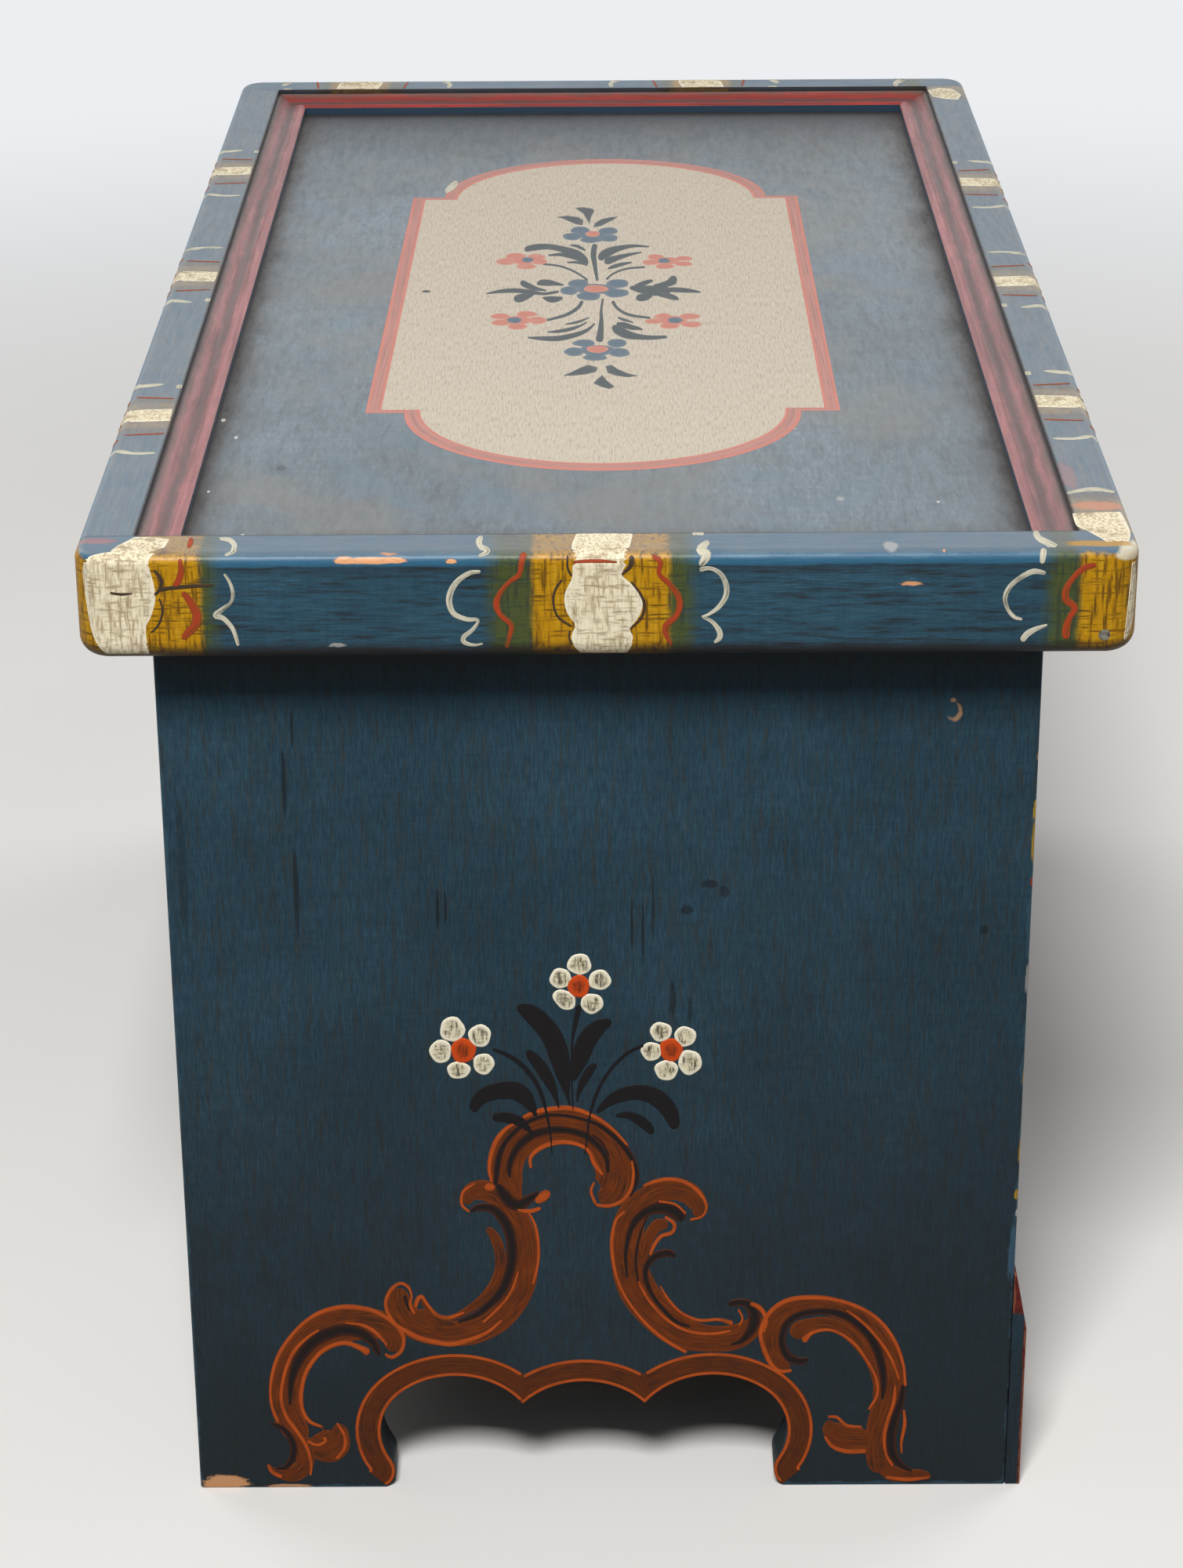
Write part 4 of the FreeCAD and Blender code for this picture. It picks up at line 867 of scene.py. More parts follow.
def ribbonBetween(place, first, second, lift):
    # a strip ruled between two lines of equal count, crowned like a stroke
    first, second = np.asarray(first, float), np.asarray(second, float)
    share = (ribbonSection[:, 0] + 1) / 2
    flat = first[:, None] * (1 - share)[None, :, None] + second[:, None] * share[None, :, None]
    spots, normal = place(flat)
    top = spots + normal * ribbonSection[None, :, 1:2] * lift
    under = spots - normal * film["sink"]
    ring = np.concatenate([top, under[:, ::-1]], axis=1)
    along = runAlong(spots[:, len(share) // 2])
    steps = np.linalg.norm(np.diff(spots, axis=1), axis=2)
    across = np.concatenate([np.zeros((len(first), 1)), np.cumsum(steps, axis=1)], axis=1)
    uv = np.stack([np.broadcast_to(along[:, None], spots.shape[:2]), across], axis=-1)
    uv = np.concatenate([uv, uv[:, ::-1]], axis=1)
    side = np.abs(ribbonSection[:, 0])
    rimShare = np.broadcast_to(np.concatenate([side, side[::-1]])[None], ring.shape[:2])
    return (*joinRows(ring, uv, normal, len(ring) // 2, 2), rimShare.ravel())


def addPiece(name, parts, material, body):
    # all skins of one paint on one face become one piece, with the brush direction as its UV map
    start, verts, faces, uvs, rims = 0, [], [], [], []
    for points, quads, caps, uv, rimShare in parts:
        verts.append(points)
        uvs.append(uv)
        rims.append(rimShare)
        faces += (quads + start).tolist() + [[v + start for v in cap] for cap in caps]
        start += len(points)
    mesh = bpy.data.meshes.new(name)
    mesh.from_pydata(np.concatenate(verts).tolist(), [], faces)
    loopVerts = np.zeros(len(mesh.loops), np.int32)
    mesh.loops.foreach_get("vertex_index", loopVerts)
    layer = mesh.uv_layers.new(name="brush")
    layer.data.foreach_set("uv", np.concatenate(uvs)[loopVerts].astype(np.float32).ravel())
    share = mesh.attributes.new("rim", "FLOAT", "POINT")
    share.data.foreach_set("value", np.concatenate(rims).astype(np.float32))
    mesh.materials.append(material)
    mesh.update()
    piece = bpy.data.objects.new(name, mesh)
    bpy.context.scene.collection.objects.link(piece)
    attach(piece, body)
    return piece


def filmPaint(name, base, dark, light, edge, edging=(0.6, 1.0, 0.5), thin=0.45, fleck=0.4, rough=0.5,
              scale=(70.0, 1500.0), hatch=0.0, cover=0.0, blotch=0.8, gloss=0.3):
    # brush paint of an ornament: bristle lines along the stroke from its own UV map, or hatched up and across
    # the board, thinner and darker in places, lighter where the brush left more, edge colour towards its rim
    made, tree, shader, where = newMaterial(name)
    base, dark, light, edge = tint(*base), tint(*dark), tint(*light), tint(*edge)
    along, across = scale
    if hatch:
        drawn = vector(tree, "MULTIPLY", where, (across, across, along))
    else:
        drawn = vector(tree, "MULTIPLY", node(tree, "TexCoord").outputs["UV"], (along, across, 1.0))
    bristle = noise(tree, drawn, 1.0, 4.0, 0.62)
    cloud = noise(tree, where, 70.0, 4.0, 0.6)
    sparse = times(tree, ease(tree, bristle, 0.48 - cover, 0.72 - cover), thin)
    sparse = plus(tree, sparse, times(tree, ease(tree, cloud, 0.5, 0.75), thin * blotch), True)
    if hatch:
        crossed = vector(tree, "MULTIPLY", where, (along, along, across))
        second = noise(tree, crossed, 1.0, 3.0, 0.6)
        second = times(tree, ease(tree, second, 0.53 - cover, 0.7 - cover), hatch)
        sparse = math(tree, "MAXIMUM", sparse, second)
    rich = times(tree, ease(tree, bristle, 0.5, 0.28), fleck)
    colour = blend(tree, sparse, base, dark)
    colour = blend(tree, rich, colour, light)
    rimShare = node(tree, "Attribute", attribute_name="rim").outputs["Fac"]
    shake = shaken(tree, where, 420.0, 3.0, 0.6, 0.5)
    near = ease(tree, plus(tree, rimShare, shake), edging[0], edging[1], 0.0, edging[2])
    colour = blend(tree, near, colour, edge)
    worn = ease(tree, bristle, 0.3, 0.7, rough - 0.08, rough + 0.12)
    finishSurface(tree, shader, colour, worn, bristle, 0.0002, 0.5, gloss)
    return made


paints = dict(
    scroll=filmPaint("scroll_brown_paint", (106, 50, 20), (62, 38, 26), (138, 68, 28), (132, 62, 26),
                     (0.7, 1.0, 0.4), 0.85, 0.6, cover=0.04, gloss=0.1),
    border=filmPaint("border_brown_paint", (92, 45, 20), (60, 36, 25), (118, 58, 24), (116, 54, 24),
                     (0.7, 1.0, 0.4), 0.85, 0.5, cover=0.05, gloss=0.1),
    shade=filmPaint("scroll_shade_paint", (30, 24, 23), (26, 26, 30), (50, 33, 25), (80, 40, 24),
                    (0.3, 1.0, 0.75), 0.5, 0.4, gloss=0.1),
    line=filmPaint("scroll_bright_paint", (184, 82, 32), (126, 60, 28), (206, 102, 48), (124, 58, 26),
                   (0.35, 1.0, 0.7), 0.7, 0.45, gloss=0.1),
    leaf=filmPaint("leaf_dark_paint", (28, 25, 26), (24, 28, 32), (36, 32, 31), (28, 33, 38), (0.7, 1.0, 0.5),
                   0.5, 0.4, gloss=0.08),
    petal=filmPaint("petal_cream_paint", (224, 214, 182), (72, 66, 52), (238, 228, 202), (242, 233, 208),
                    (0.55, 0.9, 1.0), 1.0, 0.3, scale=(170.0, 760.0), hatch=0.7, blotch=0.3, cover=0.05,
                    gloss=0.1),
    heart=filmPaint("flower_heart_paint", (158, 60, 24), (84, 44, 26), (190, 76, 30), (204, 76, 28),
                    (0.3, 0.75, 0.95), 0.9, 0.4, scale=(170.0, 760.0), hatch=0.5, cover=0.04, gloss=0.1),
    cream=filmPaint("cartouche_cream_paint", (196, 184, 166), (140, 128, 110), (210, 200, 184),
                    (190, 176, 156), (0.94, 1.0, 0.4), 0.6, 0.5, scale=(120.0, 1200.0), blotch=0.12),
    coral=filmPaint("cartouche_coral_paint", (180, 128, 118), (140, 118, 110), (194, 136, 124),
                    (204, 124, 108), (0.35, 0.9, 0.85), 0.8, 0.5, scale=(16.0, 900.0), blotch=0.4),
    sprayGrey=filmPaint("spray_grey_paint", (72, 78, 80), (98, 100, 98), (58, 64, 68), (112, 112, 108),
                        (0.55, 1.0, 0.5), 0.4, 0.5),
    sprayBlue=filmPaint("spray_blue_paint", (88, 104, 116), (112, 122, 126), (76, 92, 106), (128, 134, 136),
                        (0.6, 1.0, 0.5), 0.5, 0.5, scale=(300.0, 500.0)),
    sprayCoral=filmPaint("spray_coral_paint", (190, 122, 106), (196, 154, 136), (180, 104, 88),
                         (198, 150, 134), (0.6, 1.0, 0.5), 0.5, 0.5, scale=(300.0, 500.0)),
    bandCream=filmPaint("band_cream_paint", (236, 224, 192), (132, 106, 66), (242, 234, 210), (238, 229, 204),
                        (0.8, 1.0, 0.85), 0.7, 0.4, scale=(110.0, 760.0), hatch=0.7, cover=0.05, blotch=0.2,
                        gloss=0.2),
    bandLine=filmPaint("scallop_cream_paint", (206, 200, 178), (104, 104, 92), (226, 220, 202),
                       (190, 186, 172), (0.5, 1.0, 0.45), 0.9, 0.4, cover=0.03, gloss=0.2),
    bandRed=filmPaint("band_red_paint", (172, 58, 30), (112, 66, 28), (188, 76, 44), (126, 74, 28),
                      (0.35, 1.0, 0.75), 0.95, 0.4, cover=0.05, gloss=0.2),
    bandDark=filmPaint("band_dark_paint", (48, 34, 22), (84, 60, 24), (34, 26, 20), (86, 62, 24),
                       (0.5, 1.0, 0.6), 0.4, 0.4))
print("ornament paints ready")


def strokes(place, rows, lift):
    return [brushStroke(place, width, points, lift) for width, points in rows]


def dabs(place, ovals, lift):
    return [paintDab(place, oval(*one), lift) for one in ovals]


# ends: scrolls, flowers and the border of the foot opening, as pixels of the photograph with widths in pixels

endScrolls = [
    ([24, 32, 36, 44, 43, 42, 40, 38, 34, 28], [(500, 1724), (502, 1706), (486, 1690), (441, 1690),
     (404, 1704), (377, 1735), (365, 1768), (365, 1796), (374, 1818), (388, 1838)]),
    ([24, 44, 46, 26, 8], [(395, 1838), (412, 1843), (426, 1838), (432, 1826), (430, 1816)]),
    ([28, 26, 22, 22, 12, 6], [(384, 1834), (390, 1850), (388, 1868), (376, 1879), (358, 1880), (344, 1873)]),
    ([12, 22, 26, 26, 28, 30, 32, 34, 36, 36, 34, 32, 34, 36, 33, 26], [(594, 1536), (600, 1522), (616, 1518),
     (636, 1527), (655, 1548), (668, 1574), (671, 1602), (667, 1634), (654, 1660), (634, 1682), (606, 1697),
     (572, 1701), (542, 1696), (522, 1684), (509, 1664), (510, 1643)]),
    ([12, 24, 20, 8], [(532, 1672), (545, 1683), (560, 1690), (582, 1690)]),
    ([8, 13, 14, 13, 12, 11, 9, 7, 7, 7, 8], [(622, 1566), (632, 1580), (638, 1600), (637, 1622), (627, 1643),
     (612, 1660), (595, 1672), (575, 1681), (556, 1679), (545, 1668), (538, 1658)]),
    ([12, 34, 42, 44, 44, 42, 44, 48, 52, 50, 40, 20], [(662, 1538), (650, 1516), (646, 1490), (653, 1466),
     (675, 1444), (712, 1434), (748, 1442), (773, 1463), (785, 1490), (783, 1512), (775, 1524), (763, 1528)]),
    ([10, 22, 28, 28, 30, 38, 42, 44, 48, 46, 42, 34, 32, 26, 14], [(886, 1551), (892, 1540), (880, 1523),
     (858, 1517), (833, 1524), (808, 1548), (800, 1575), (801, 1605), (811, 1640), (834, 1672), (866, 1698),
     (900, 1707), (935, 1706), (958, 1694), (968, 1677)]),
    ([14, 16, 14, 10], [(852, 1562), (838, 1564), (826, 1582), (818, 1612)]),
    ([10, 20, 26, 26, 26, 22, 24, 26, 30, 33, 32, 32, 34, 28, 26, 16], [(1008, 1744), (994, 1740),
     (984, 1720), (984, 1697), (998, 1676), (1025, 1664), (1055, 1665), (1085, 1677), (1110, 1698),
     (1130, 1728), (1138, 1756), (1134, 1782), (1124, 1812), (1118, 1838), (1119, 1864), (1124, 1878)]),
    ([20, 24, 16, 16, 16, 14, 11, 9, 6], [(1016, 1708), (1020, 1697), (1036, 1689), (1056, 1688),
     (1078, 1698), (1098, 1718), (1112, 1742), (1118, 1765), (1116, 1785)]),
    ([10, 24, 30, 30, 28], [(1056, 1812), (1060, 1822), (1072, 1832), (1090, 1836), (1112, 1836)]),
    ([14, 20, 16, 14, 8], [(1122, 1862), (1134, 1877), (1152, 1882), (1172, 1881), (1187, 1883)]),
]

endShades = [
    ([4, 9, 14, 17, 18, 18, 17, 15, 12, 6], [(370, 1792), (371, 1768), (376, 1746), (386, 1727), (400, 1711),
     (418, 1701), (440, 1696), (460, 1700), (475, 1711), (484, 1729)]),
    ([3, 6, 9, 10, 9, 7, 3], [(344, 1815), (358, 1820), (369, 1831), (375, 1846), (373, 1860), (365, 1871),
     (352, 1873)]),
    ([5, 9, 12, 14, 15, 15, 15, 14, 13, 11, 8, 4], [(600, 1545), (611, 1540), (627, 1541), (640, 1552),
     (649, 1568), (653, 1586), (653, 1606), (649, 1626), (640, 1646), (625, 1663), (607, 1677), (584, 1686)]),
    (5, [(516, 1652), (519, 1662), (523, 1672)]),
    ([6, 9, 9, 8, 8, 7, 6, 5, 5, 5, 6, 7, 8, 8, 7, 6, 4], [(632, 1512), (634, 1492), (637, 1474), (644, 1458),
     (655, 1445), (668, 1434), (684, 1426), (702, 1422), (722, 1423), (742, 1427), (762, 1434), (779, 1446),
     (793, 1459), (804, 1474), (811, 1490), (812, 1506), (804, 1526)]),
    ([4, 9, 11, 12, 12, 11, 10, 10, 9, 8, 5], [(650, 1502), (650, 1486), (656, 1470), (667, 1456),
     (683, 1446), (704, 1441), (726, 1442), (746, 1448), (762, 1460), (773, 1476), (776, 1496)]),
    ([8, 16, 18, 16, 12, 6], [(634, 1510), (641, 1521), (651, 1533), (662, 1537), (674, 1530), (687, 1521)]),
    (3, [(756, 1447), (768, 1458), (777, 1474)]),
    ([14, 18, 18, 14, 12, 9, 7, 5, 3], [(871, 1557), (863, 1546), (847, 1540), (829, 1543), (814, 1553),
     (805, 1567), (800, 1585), (798, 1606), (800, 1630)]),
    ([2, 3.5, 4, 3], [(826, 1550), (816, 1576), (811, 1606), (814, 1638)]),
    ([7, 10, 10, 9, 8, 7, 6, 6, 6, 4], [(862, 1602), (851, 1598), (838, 1601), (828, 1609), (823, 1622),
     (826, 1638), (834, 1655), (846, 1670), (862, 1685), (880, 1692)]),
    ([8, 9, 12, 16, 16, 12, 7, 3], [(929, 1664), (941, 1661), (955, 1664), (962, 1676), (961, 1690),
     (954, 1702), (944, 1711), (932, 1715)]),
    ([7, 10, 11, 10, 9, 9, 9, 9, 11, 12, 13, 13, 11, 8, 4], [(1031, 1734), (1018, 1736), (1005, 1730),
     (998, 1716), (998, 1700), (1007, 1684), (1025, 1675), (1050, 1672), (1075, 1677), (1095, 1689),
     (1110, 1705), (1120, 1725), (1126, 1748), (1127, 1768), (1125, 1785)]),
    ([5, 10, 12, 14, 14, 12, 8, 4], [(1152, 1766), (1149, 1786), (1142, 1806), (1137, 1824), (1136, 1842),
     (1140, 1858), (1150, 1869), (1163, 1876)]),
]

endLines = [
    ([3, 5, 5, 5, 6, 6, 6, 6, 6, 6, 5, 5, 5, 5, 4, 4, 3], [(491, 1727), (500, 1731), (511, 1724), (515, 1711),
     (510, 1696), (497, 1683), (478, 1673), (458, 1668), (438, 1667), (414, 1672), (393, 1683), (374, 1701),
     (358, 1723), (349, 1746), (345, 1770), (347, 1794), (355, 1814)]),
    ([3, 4, 5, 5, 5, 5, 5, 5, 5, 4, 3], [(407, 1696), (392, 1706), (377, 1721), (366, 1742), (360, 1766),
     (359, 1788), (366, 1808), (379, 1826), (391, 1845), (397, 1866), (396, 1882)]),
    ([2, 4, 5, 3], [(440, 1687), (462, 1690), (480, 1700), (494, 1716)]),
    ([11, 7, 6, 6, 6, 6, 6, 6, 5, 5, 3], [(471, 1726), (459, 1719), (441, 1713), (425, 1716), (409, 1725),
     (397, 1739), (388, 1757), (384, 1778), (386, 1798), (395, 1813), (411, 1820)]),
    (4, [(392, 1838), (405, 1843), (415, 1838), (413, 1833)]),
    ([3, 5, 5, 4], [(430, 1815), (440, 1832), (439, 1848), (429, 1861)]),
    (5, [(342, 1868), (348, 1878), (360, 1884)]),
    ([3, 4, 4, 3.5, 3], [(674, 1546), (683, 1564), (687, 1590), (686, 1612), (680, 1638)]),
    ([3, 5, 6, 7, 7, 7, 6, 5, 5, 5, 5, 4, 4, 3, 4, 4], [(640, 1684), (622, 1699), (602, 1708), (578, 1714),
     (556, 1712), (536, 1707), (520, 1699), (506, 1690), (496, 1677), (492, 1662), (498, 1646), (510, 1637),
     (521, 1642), (525, 1654), (523, 1664), (529, 1676)]),
    ([4, 6, 5, 4, 5, 5, 3], [(530, 1668), (532, 1659), (538, 1654), (546, 1665), (557, 1677), (571, 1681),
     (592, 1674)]),
    ([2.5, 3.5, 3.5, 3], [(661, 1622), (654, 1643), (641, 1663), (616, 1687)]),
    ([3, 4, 4, 3], [(599, 1546), (589, 1536), (591, 1520), (606, 1509)]),
    (10, [(618, 1514), (631, 1514)]),
    ([3, 5, 6, 6, 5, 4], [(627, 1508), (624, 1490), (627, 1470), (634, 1453), (645, 1440), (656, 1433)]),
    ([4, 6, 6, 6, 5, 4, 3], [(667, 1425), (684, 1418), (706, 1414), (730, 1414), (756, 1423), (780, 1439),
     (801, 1461)]),
    ([3, 4, 5, 5, 5, 4], [(806, 1480), (808, 1498), (804, 1518), (793, 1532), (776, 1538), (760, 1537)]),
    ([3, 4, 4], [(758, 1508), (754, 1520), (760, 1536)]),
    ([4, 5, 6, 6, 5, 5, 6, 4], [(677, 1490), (677, 1476), (690, 1464), (712, 1457), (735, 1459), (751, 1468),
     (758, 1484), (769, 1499)]),
    ([8, 13, 11], [(683, 1533), (692, 1527), (701, 1520)]),
    ([3, 6, 4], [(660, 1543), (675, 1545), (690, 1541)]),
    ([3, 4, 5, 5, 4, 4, 4, 5, 5, 4], [(797, 1545), (786, 1556), (781, 1576), (781, 1600), (786, 1626),
     (796, 1651), (811, 1673), (831, 1695), (853, 1712), (876, 1725)]),
    ([3, 5, 5, 5, 5, 4, 3, 3], [(820, 1513), (835, 1507), (853, 1504), (872, 1507), (890, 1519), (901, 1537),
     (896, 1551), (880, 1556)]),
    ([3, 3, 3], [(875, 1548), (861, 1536), (840, 1532)]),
    ([4, 5, 5, 5, 5, 4], [(829, 1601), (834, 1589), (843, 1577), (857, 1572), (860, 1561), (848, 1552)]),
    ([2, 4, 4, 4, 4, 4, 3], [(814, 1634), (826, 1656), (845, 1678), (866, 1693), (888, 1700), (912, 1701),
     (932, 1697)]),
    ([2, 3.5, 3.5, 4, 4, 6], [(842, 1640), (854, 1659), (870, 1675), (892, 1684), (916, 1683), (935, 1688)]),
    ([5, 6, 6, 4], [(957, 1662), (970, 1669), (977, 1683), (974, 1700)]),
    (3, [(942, 1670), (947, 1681), (943, 1691)]),
    ([4, 5, 6, 6, 6, 6, 6, 6, 6, 6, 5, 5, 5, 5, 5, 4, 4], [(1010, 1748), (996, 1749), (985, 1742),
     (977, 1727), (971, 1709), (971, 1694), (979, 1678), (992, 1665), (1010, 1657), (1034, 1655),
     (1060, 1657), (1084, 1663), (1108, 1674), (1128, 1691), (1143, 1714), (1152, 1740), (1155, 1768)]),
    ([2, 4, 4, 4, 3], [(1080, 1671), (1102, 1688), (1122, 1710), (1138, 1735), (1147, 1760)]),
    ([3, 5, 5, 5, 4, 4], [(1142, 1768), (1140, 1788), (1133, 1810), (1128, 1832), (1130, 1854),
     (1139, 1870)]),
    ([3, 5, 4, 2], [(1153, 1798), (1154, 1816), (1150, 1838), (1150, 1854)]),
    ([10, 5, 4, 4, 4, 4, 4, 4, 3], [(1024, 1711), (1036, 1700), (1056, 1696), (1074, 1702), (1092, 1716),
     (1107, 1737), (1117, 1757), (1119, 1778), (1108, 1798)]),
    ([4, 5, 6, 5], [(1052, 1832), (1062, 1845), (1080, 1851), (1105, 1851)]),
    ([3, 4, 4, 3], [(1056, 1807), (1068, 1808), (1080, 1818), (1100, 1820)]),
    ([4, 5, 3], [(1130, 1884), (1158, 1887), (1186, 1884)]),
]

endLeaves = [
    ([10, 22, 26, 27, 25, 18, 7, 2], [(660, 1284), (675, 1291), (692, 1306), (706, 1326), (714, 1350),
     (719, 1373), (723, 1393), (727, 1410)]),
    ([8, 20, 24, 24, 18, 6], [(780, 1302), (764, 1310), (750, 1325), (742, 1343), (735, 1362), (731, 1378)]),
    ([6, 14, 16, 15, 10, 4, 2], [(672, 1340), (680, 1349), (690, 1361), (699, 1376), (706, 1391), (711, 1406),
     (713, 1414)]),
    ([6, 11, 10, 5, 2], [(760, 1357), (752, 1366), (744, 1380), (738, 1393), (736, 1405)]),
    ([10, 16, 20, 22, 24, 22, 14, 6], [(604, 1418), (608, 1406), (620, 1396), (637, 1391), (655, 1391),
     (668, 1398), (677, 1410), (684, 1423)]),
    ([10, 14, 13, 8, 3], [(628, 1425), (645, 1425), (662, 1430), (673, 1439), (679, 1447)]),
    ([4, 12, 18, 20, 22, 22, 19, 12], [(761, 1419), (775, 1406), (792, 1397), (812, 1393), (832, 1397),
     (848, 1409), (857, 1424), (861, 1440)]),
    ([3, 9, 13, 13, 7], [(785, 1423), (800, 1422), (813, 1427), (825, 1436), (833, 1446)]),
    ([8, 6, 3, 2.5, 2, 2], [(739, 1282), (734, 1305), (730, 1328), (729, 1360), (730, 1395), (731, 1416)]),
    ([3, 5, 6, 6, 5, 4, 2.5, 1.5], [(628, 1338), (646, 1345), (664, 1357), (679, 1374), (690, 1394),
     (697, 1419), (702, 1446), (704, 1472)]),
    ([4, 4, 4, 4, 4, 3, 2.5, 1.5], [(821, 1333), (802, 1342), (785, 1357), (770, 1377), (759, 1400),
     (752, 1425), (749, 1450), (746, 1472)]),
]

endPetals = [
    (739, 1230, 15.5, 13.5, 0), (765, 1250, 14.5, 13, 0), (755, 1280, 14.5, 13, 0), (720, 1275, 16, 11.5, 35),
    (715, 1248, 14, 13, 0), (577, 1313, 16, 16, 0), (612, 1321, 14.5, 14.5, 0), (617, 1357, 13.5, 13.5, 0),
    (585, 1365, 15, 11, 0), (562, 1341, 14, 15, 0), (843, 1316, 14, 12.5, 0), (874, 1322, 14, 13, 0),
    (880, 1355, 15, 16, 0), (850, 1365, 15, 13, 0), (831, 1341, 13.5, 12, 0)]
endHearts = [(738, 1258, 14.5, 14.5, 0), (591, 1340, 16, 16, 0), (856, 1339, 15, 15, 0)]
endBorder = dict(wide=0.0126, outlineWide=0.0017, count=60, lowest=0.0006, cuspAt=0.030, cuspSlack=0.004,
                 openingHalf=0.13, openingTall=0.08, shortest=2e-4, setIn=1.1)


def endPlace(side):
    # photographed points carried straight onto the outer face of an end board
    def place(px):
        spots = seenOn(px, 0, caseFace)
        spots[..., 0] = -side * caseFace
        return outwards(spots, 0, side)
    return place


def openingEdge(name, side):
    # the foot opening's edge on an end board's outer face: that face's own corner points near the opening,
    # put in order by their angle about the middle of the floor line
    mesh = nodes[name].data
    points = np.zeros(len(mesh.vertices) * 3, np.float32)
    mesh.vertices.foreach_get("co", points)
    points = points.reshape(-1, 3).astype(float)
    low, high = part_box(name)
    face = points[np.abs(points[:, 0] - (high.x if side > 0 else low.x)) < 1e-5]
    middle = (low.y + high.y) / 2
    beside = np.abs(face[:, 1] - middle) < endBorder["openingHalf"]
    near = face[beside & (face[:, 2] < endBorder["openingTall"])][:, 1:]
    near = np.unique(np.round(near, 6), axis=0)
    turn = np.arctan2(near[:, 1], near[:, 0] - middle)
    return near[np.argsort(turn)], middle


def facePlane(face, side):
    # (y, z) pairs on an end board's outer face
    def place(flat):
        return outwards(np.concatenate([np.full(flat.shape[:-1] + (1,), face), flat], axis=-1), 0, side)
    return place


def borderStrips(name, side):
    # band round the foot opening: each lobe and the arch are set off outwards along their own normals;
    # past a cusp the outer line stays at the point where the two outer lines meet
    edge, middle = openingEdge(name, side)
    place = facePlane(-side * caseFace, side)
    offset = edge[:, 0] - middle
    notCusp = np.abs(np.abs(offset) - endBorder["cuspAt"]) > endBorder["cuspSlack"]
    cusps = [np.argmin(edge[:, 1] + 10 * (notCusp | (offset * way <= 0))) for way in (1, -1)]
    left, right = cusps
    spans = ((edge[:left + 1], [(left, -1)]), (edge[left:right + 1], [(left, 1), (right, -1)]),
             (edge[right:], [(right, 1)]))
    bands, rims = [], []
    for span, ends in spans:
        run = runAlong(span)
        at = np.linspace(0, run[-1], endBorder["count"])
        inner = np.column_stack([np.interp(at, run, span[:, 0]), np.interp(at, run, span[:, 1])])
        step = np.gradient(inner, axis=0)
        step /= np.linalg.norm(step, axis=1, keepdims=True)
        out = np.column_stack([step[:, 1], -step[:, 0]])
        outer = inner + out * endBorder["wide"]
        for cusp, way in ends:
            limit = edge[cusp, 0]
            beyond = outer[:, 0] * way > limit * way
            kept = outer[~beyond]
            meet = kept[np.argmin(np.abs(kept[:, 0] - limit))]
            outer[beyond] = (limit, meet[1])
        outer[:, 1] = np.maximum(outer[:, 1], endBorder["lowest"])
        inner[:, 1] = np.maximum(inner[:, 1], endBorder["lowest"])
        bands.append(ribbonBetween(place, inner, outer, film["body"]))
        half = endBorder["outlineWide"] / 2 * endBorder["setIn"]
        for line in (outer - out * half, inner + out * half):
            moved = np.linalg.norm(np.diff(line, axis=0), axis=1) > endBorder["shortest"]
            kept = line[np.concatenate([[True], moved])][::2]
            rims.append(brushStroke(place, endBorder["outlineWide"], kept, film["line"]))
    return bands, rims


def paintEnd(panel, side):
    place = endPlace(side)
    bands, rims = borderStrips(panel, side)
    for suffix, skins, paint in (
            ("_scrolls", strokes(place, endScrolls, film["body"]), "scroll"), ("_border", bands, "border"),
            ("_scroll_shades", strokes(place, endShades, film["shade"]), "shade"),
            ("_scroll_lines", strokes(place, endLines, film["line"]) + rims, "line"),
            ("_leaves", strokes(place, endLeaves, film["leaf"]), "leaf"),
            ("_petals", dabs(place, endPetals, film["line"]), "petal"),
            ("_flower_hearts", dabs(place, endHearts, film["heart"]), "heart")):
        addPiece(panel.replace("_panel", suffix), skins, paints[paint], "carcass")


paintEnd("left_end_panel", -1)
paintEnd("right_end_panel", 1)
print("ends ornamented")


# lid field: cream cartouche with a coral border, and the spray

cartouche = dict(middle=-0.0070, halfWide=0.1150, halfLong=0.2000, step=0.0190, arcReach=0.0880,
                 borderSide=0.0076, borderEnd=0.0110, count=64, flare=0.016, lean=0.0012, nearer=0.0020,
                 insetLong=0.6)


def fieldPlace(flat):
    # (x, y) on the top of the lid board
    return outwards(np.concatenate([flat, np.full(flat.shape[:-1] + (1,), fieldLevel)], axis=-1), 2, 1)


def fieldSeen(px):
    # photographed points carried straight onto the top of the lid board
    return fieldPlace(seenOn(px, 2, fieldLevel)[..., :2])


def cartoucheOutline(inset, insetEnd):
    # straight sides, a step in at each corner, half an ellipse at both ends, a little wider at the near end
    c = cartouche
    n = c["count"]
    wide, long = c["halfWide"] - inset, c["halfLong"] - inset * c["insetLong"]
    neck = c["halfWide"] - c["step"] - inset
    reach = c["arcReach"] + c["halfLong"] - long - insetEnd
    a = np.linspace(np.pi / 2, -np.pi / 2, n)
    cap = np.column_stack([long + np.maximum(reach * np.cos(a), 0), neck * np.sin(a)])
    sideRun = np.column_stack([np.linspace(long, -long, n // 2), np.full(n // 2, -wide)])
    half = np.vstack([cap, sideRun])
    x, y = np.vstack([half, -half]).T
    near = np.clip(-x / c["halfLong"], -1, 1)
    return np.column_stack([x - c["nearer"] * np.maximum(near, 0) + c["middle"],
                            y * (1 + c["flare"] * near) + c["lean"] * near])


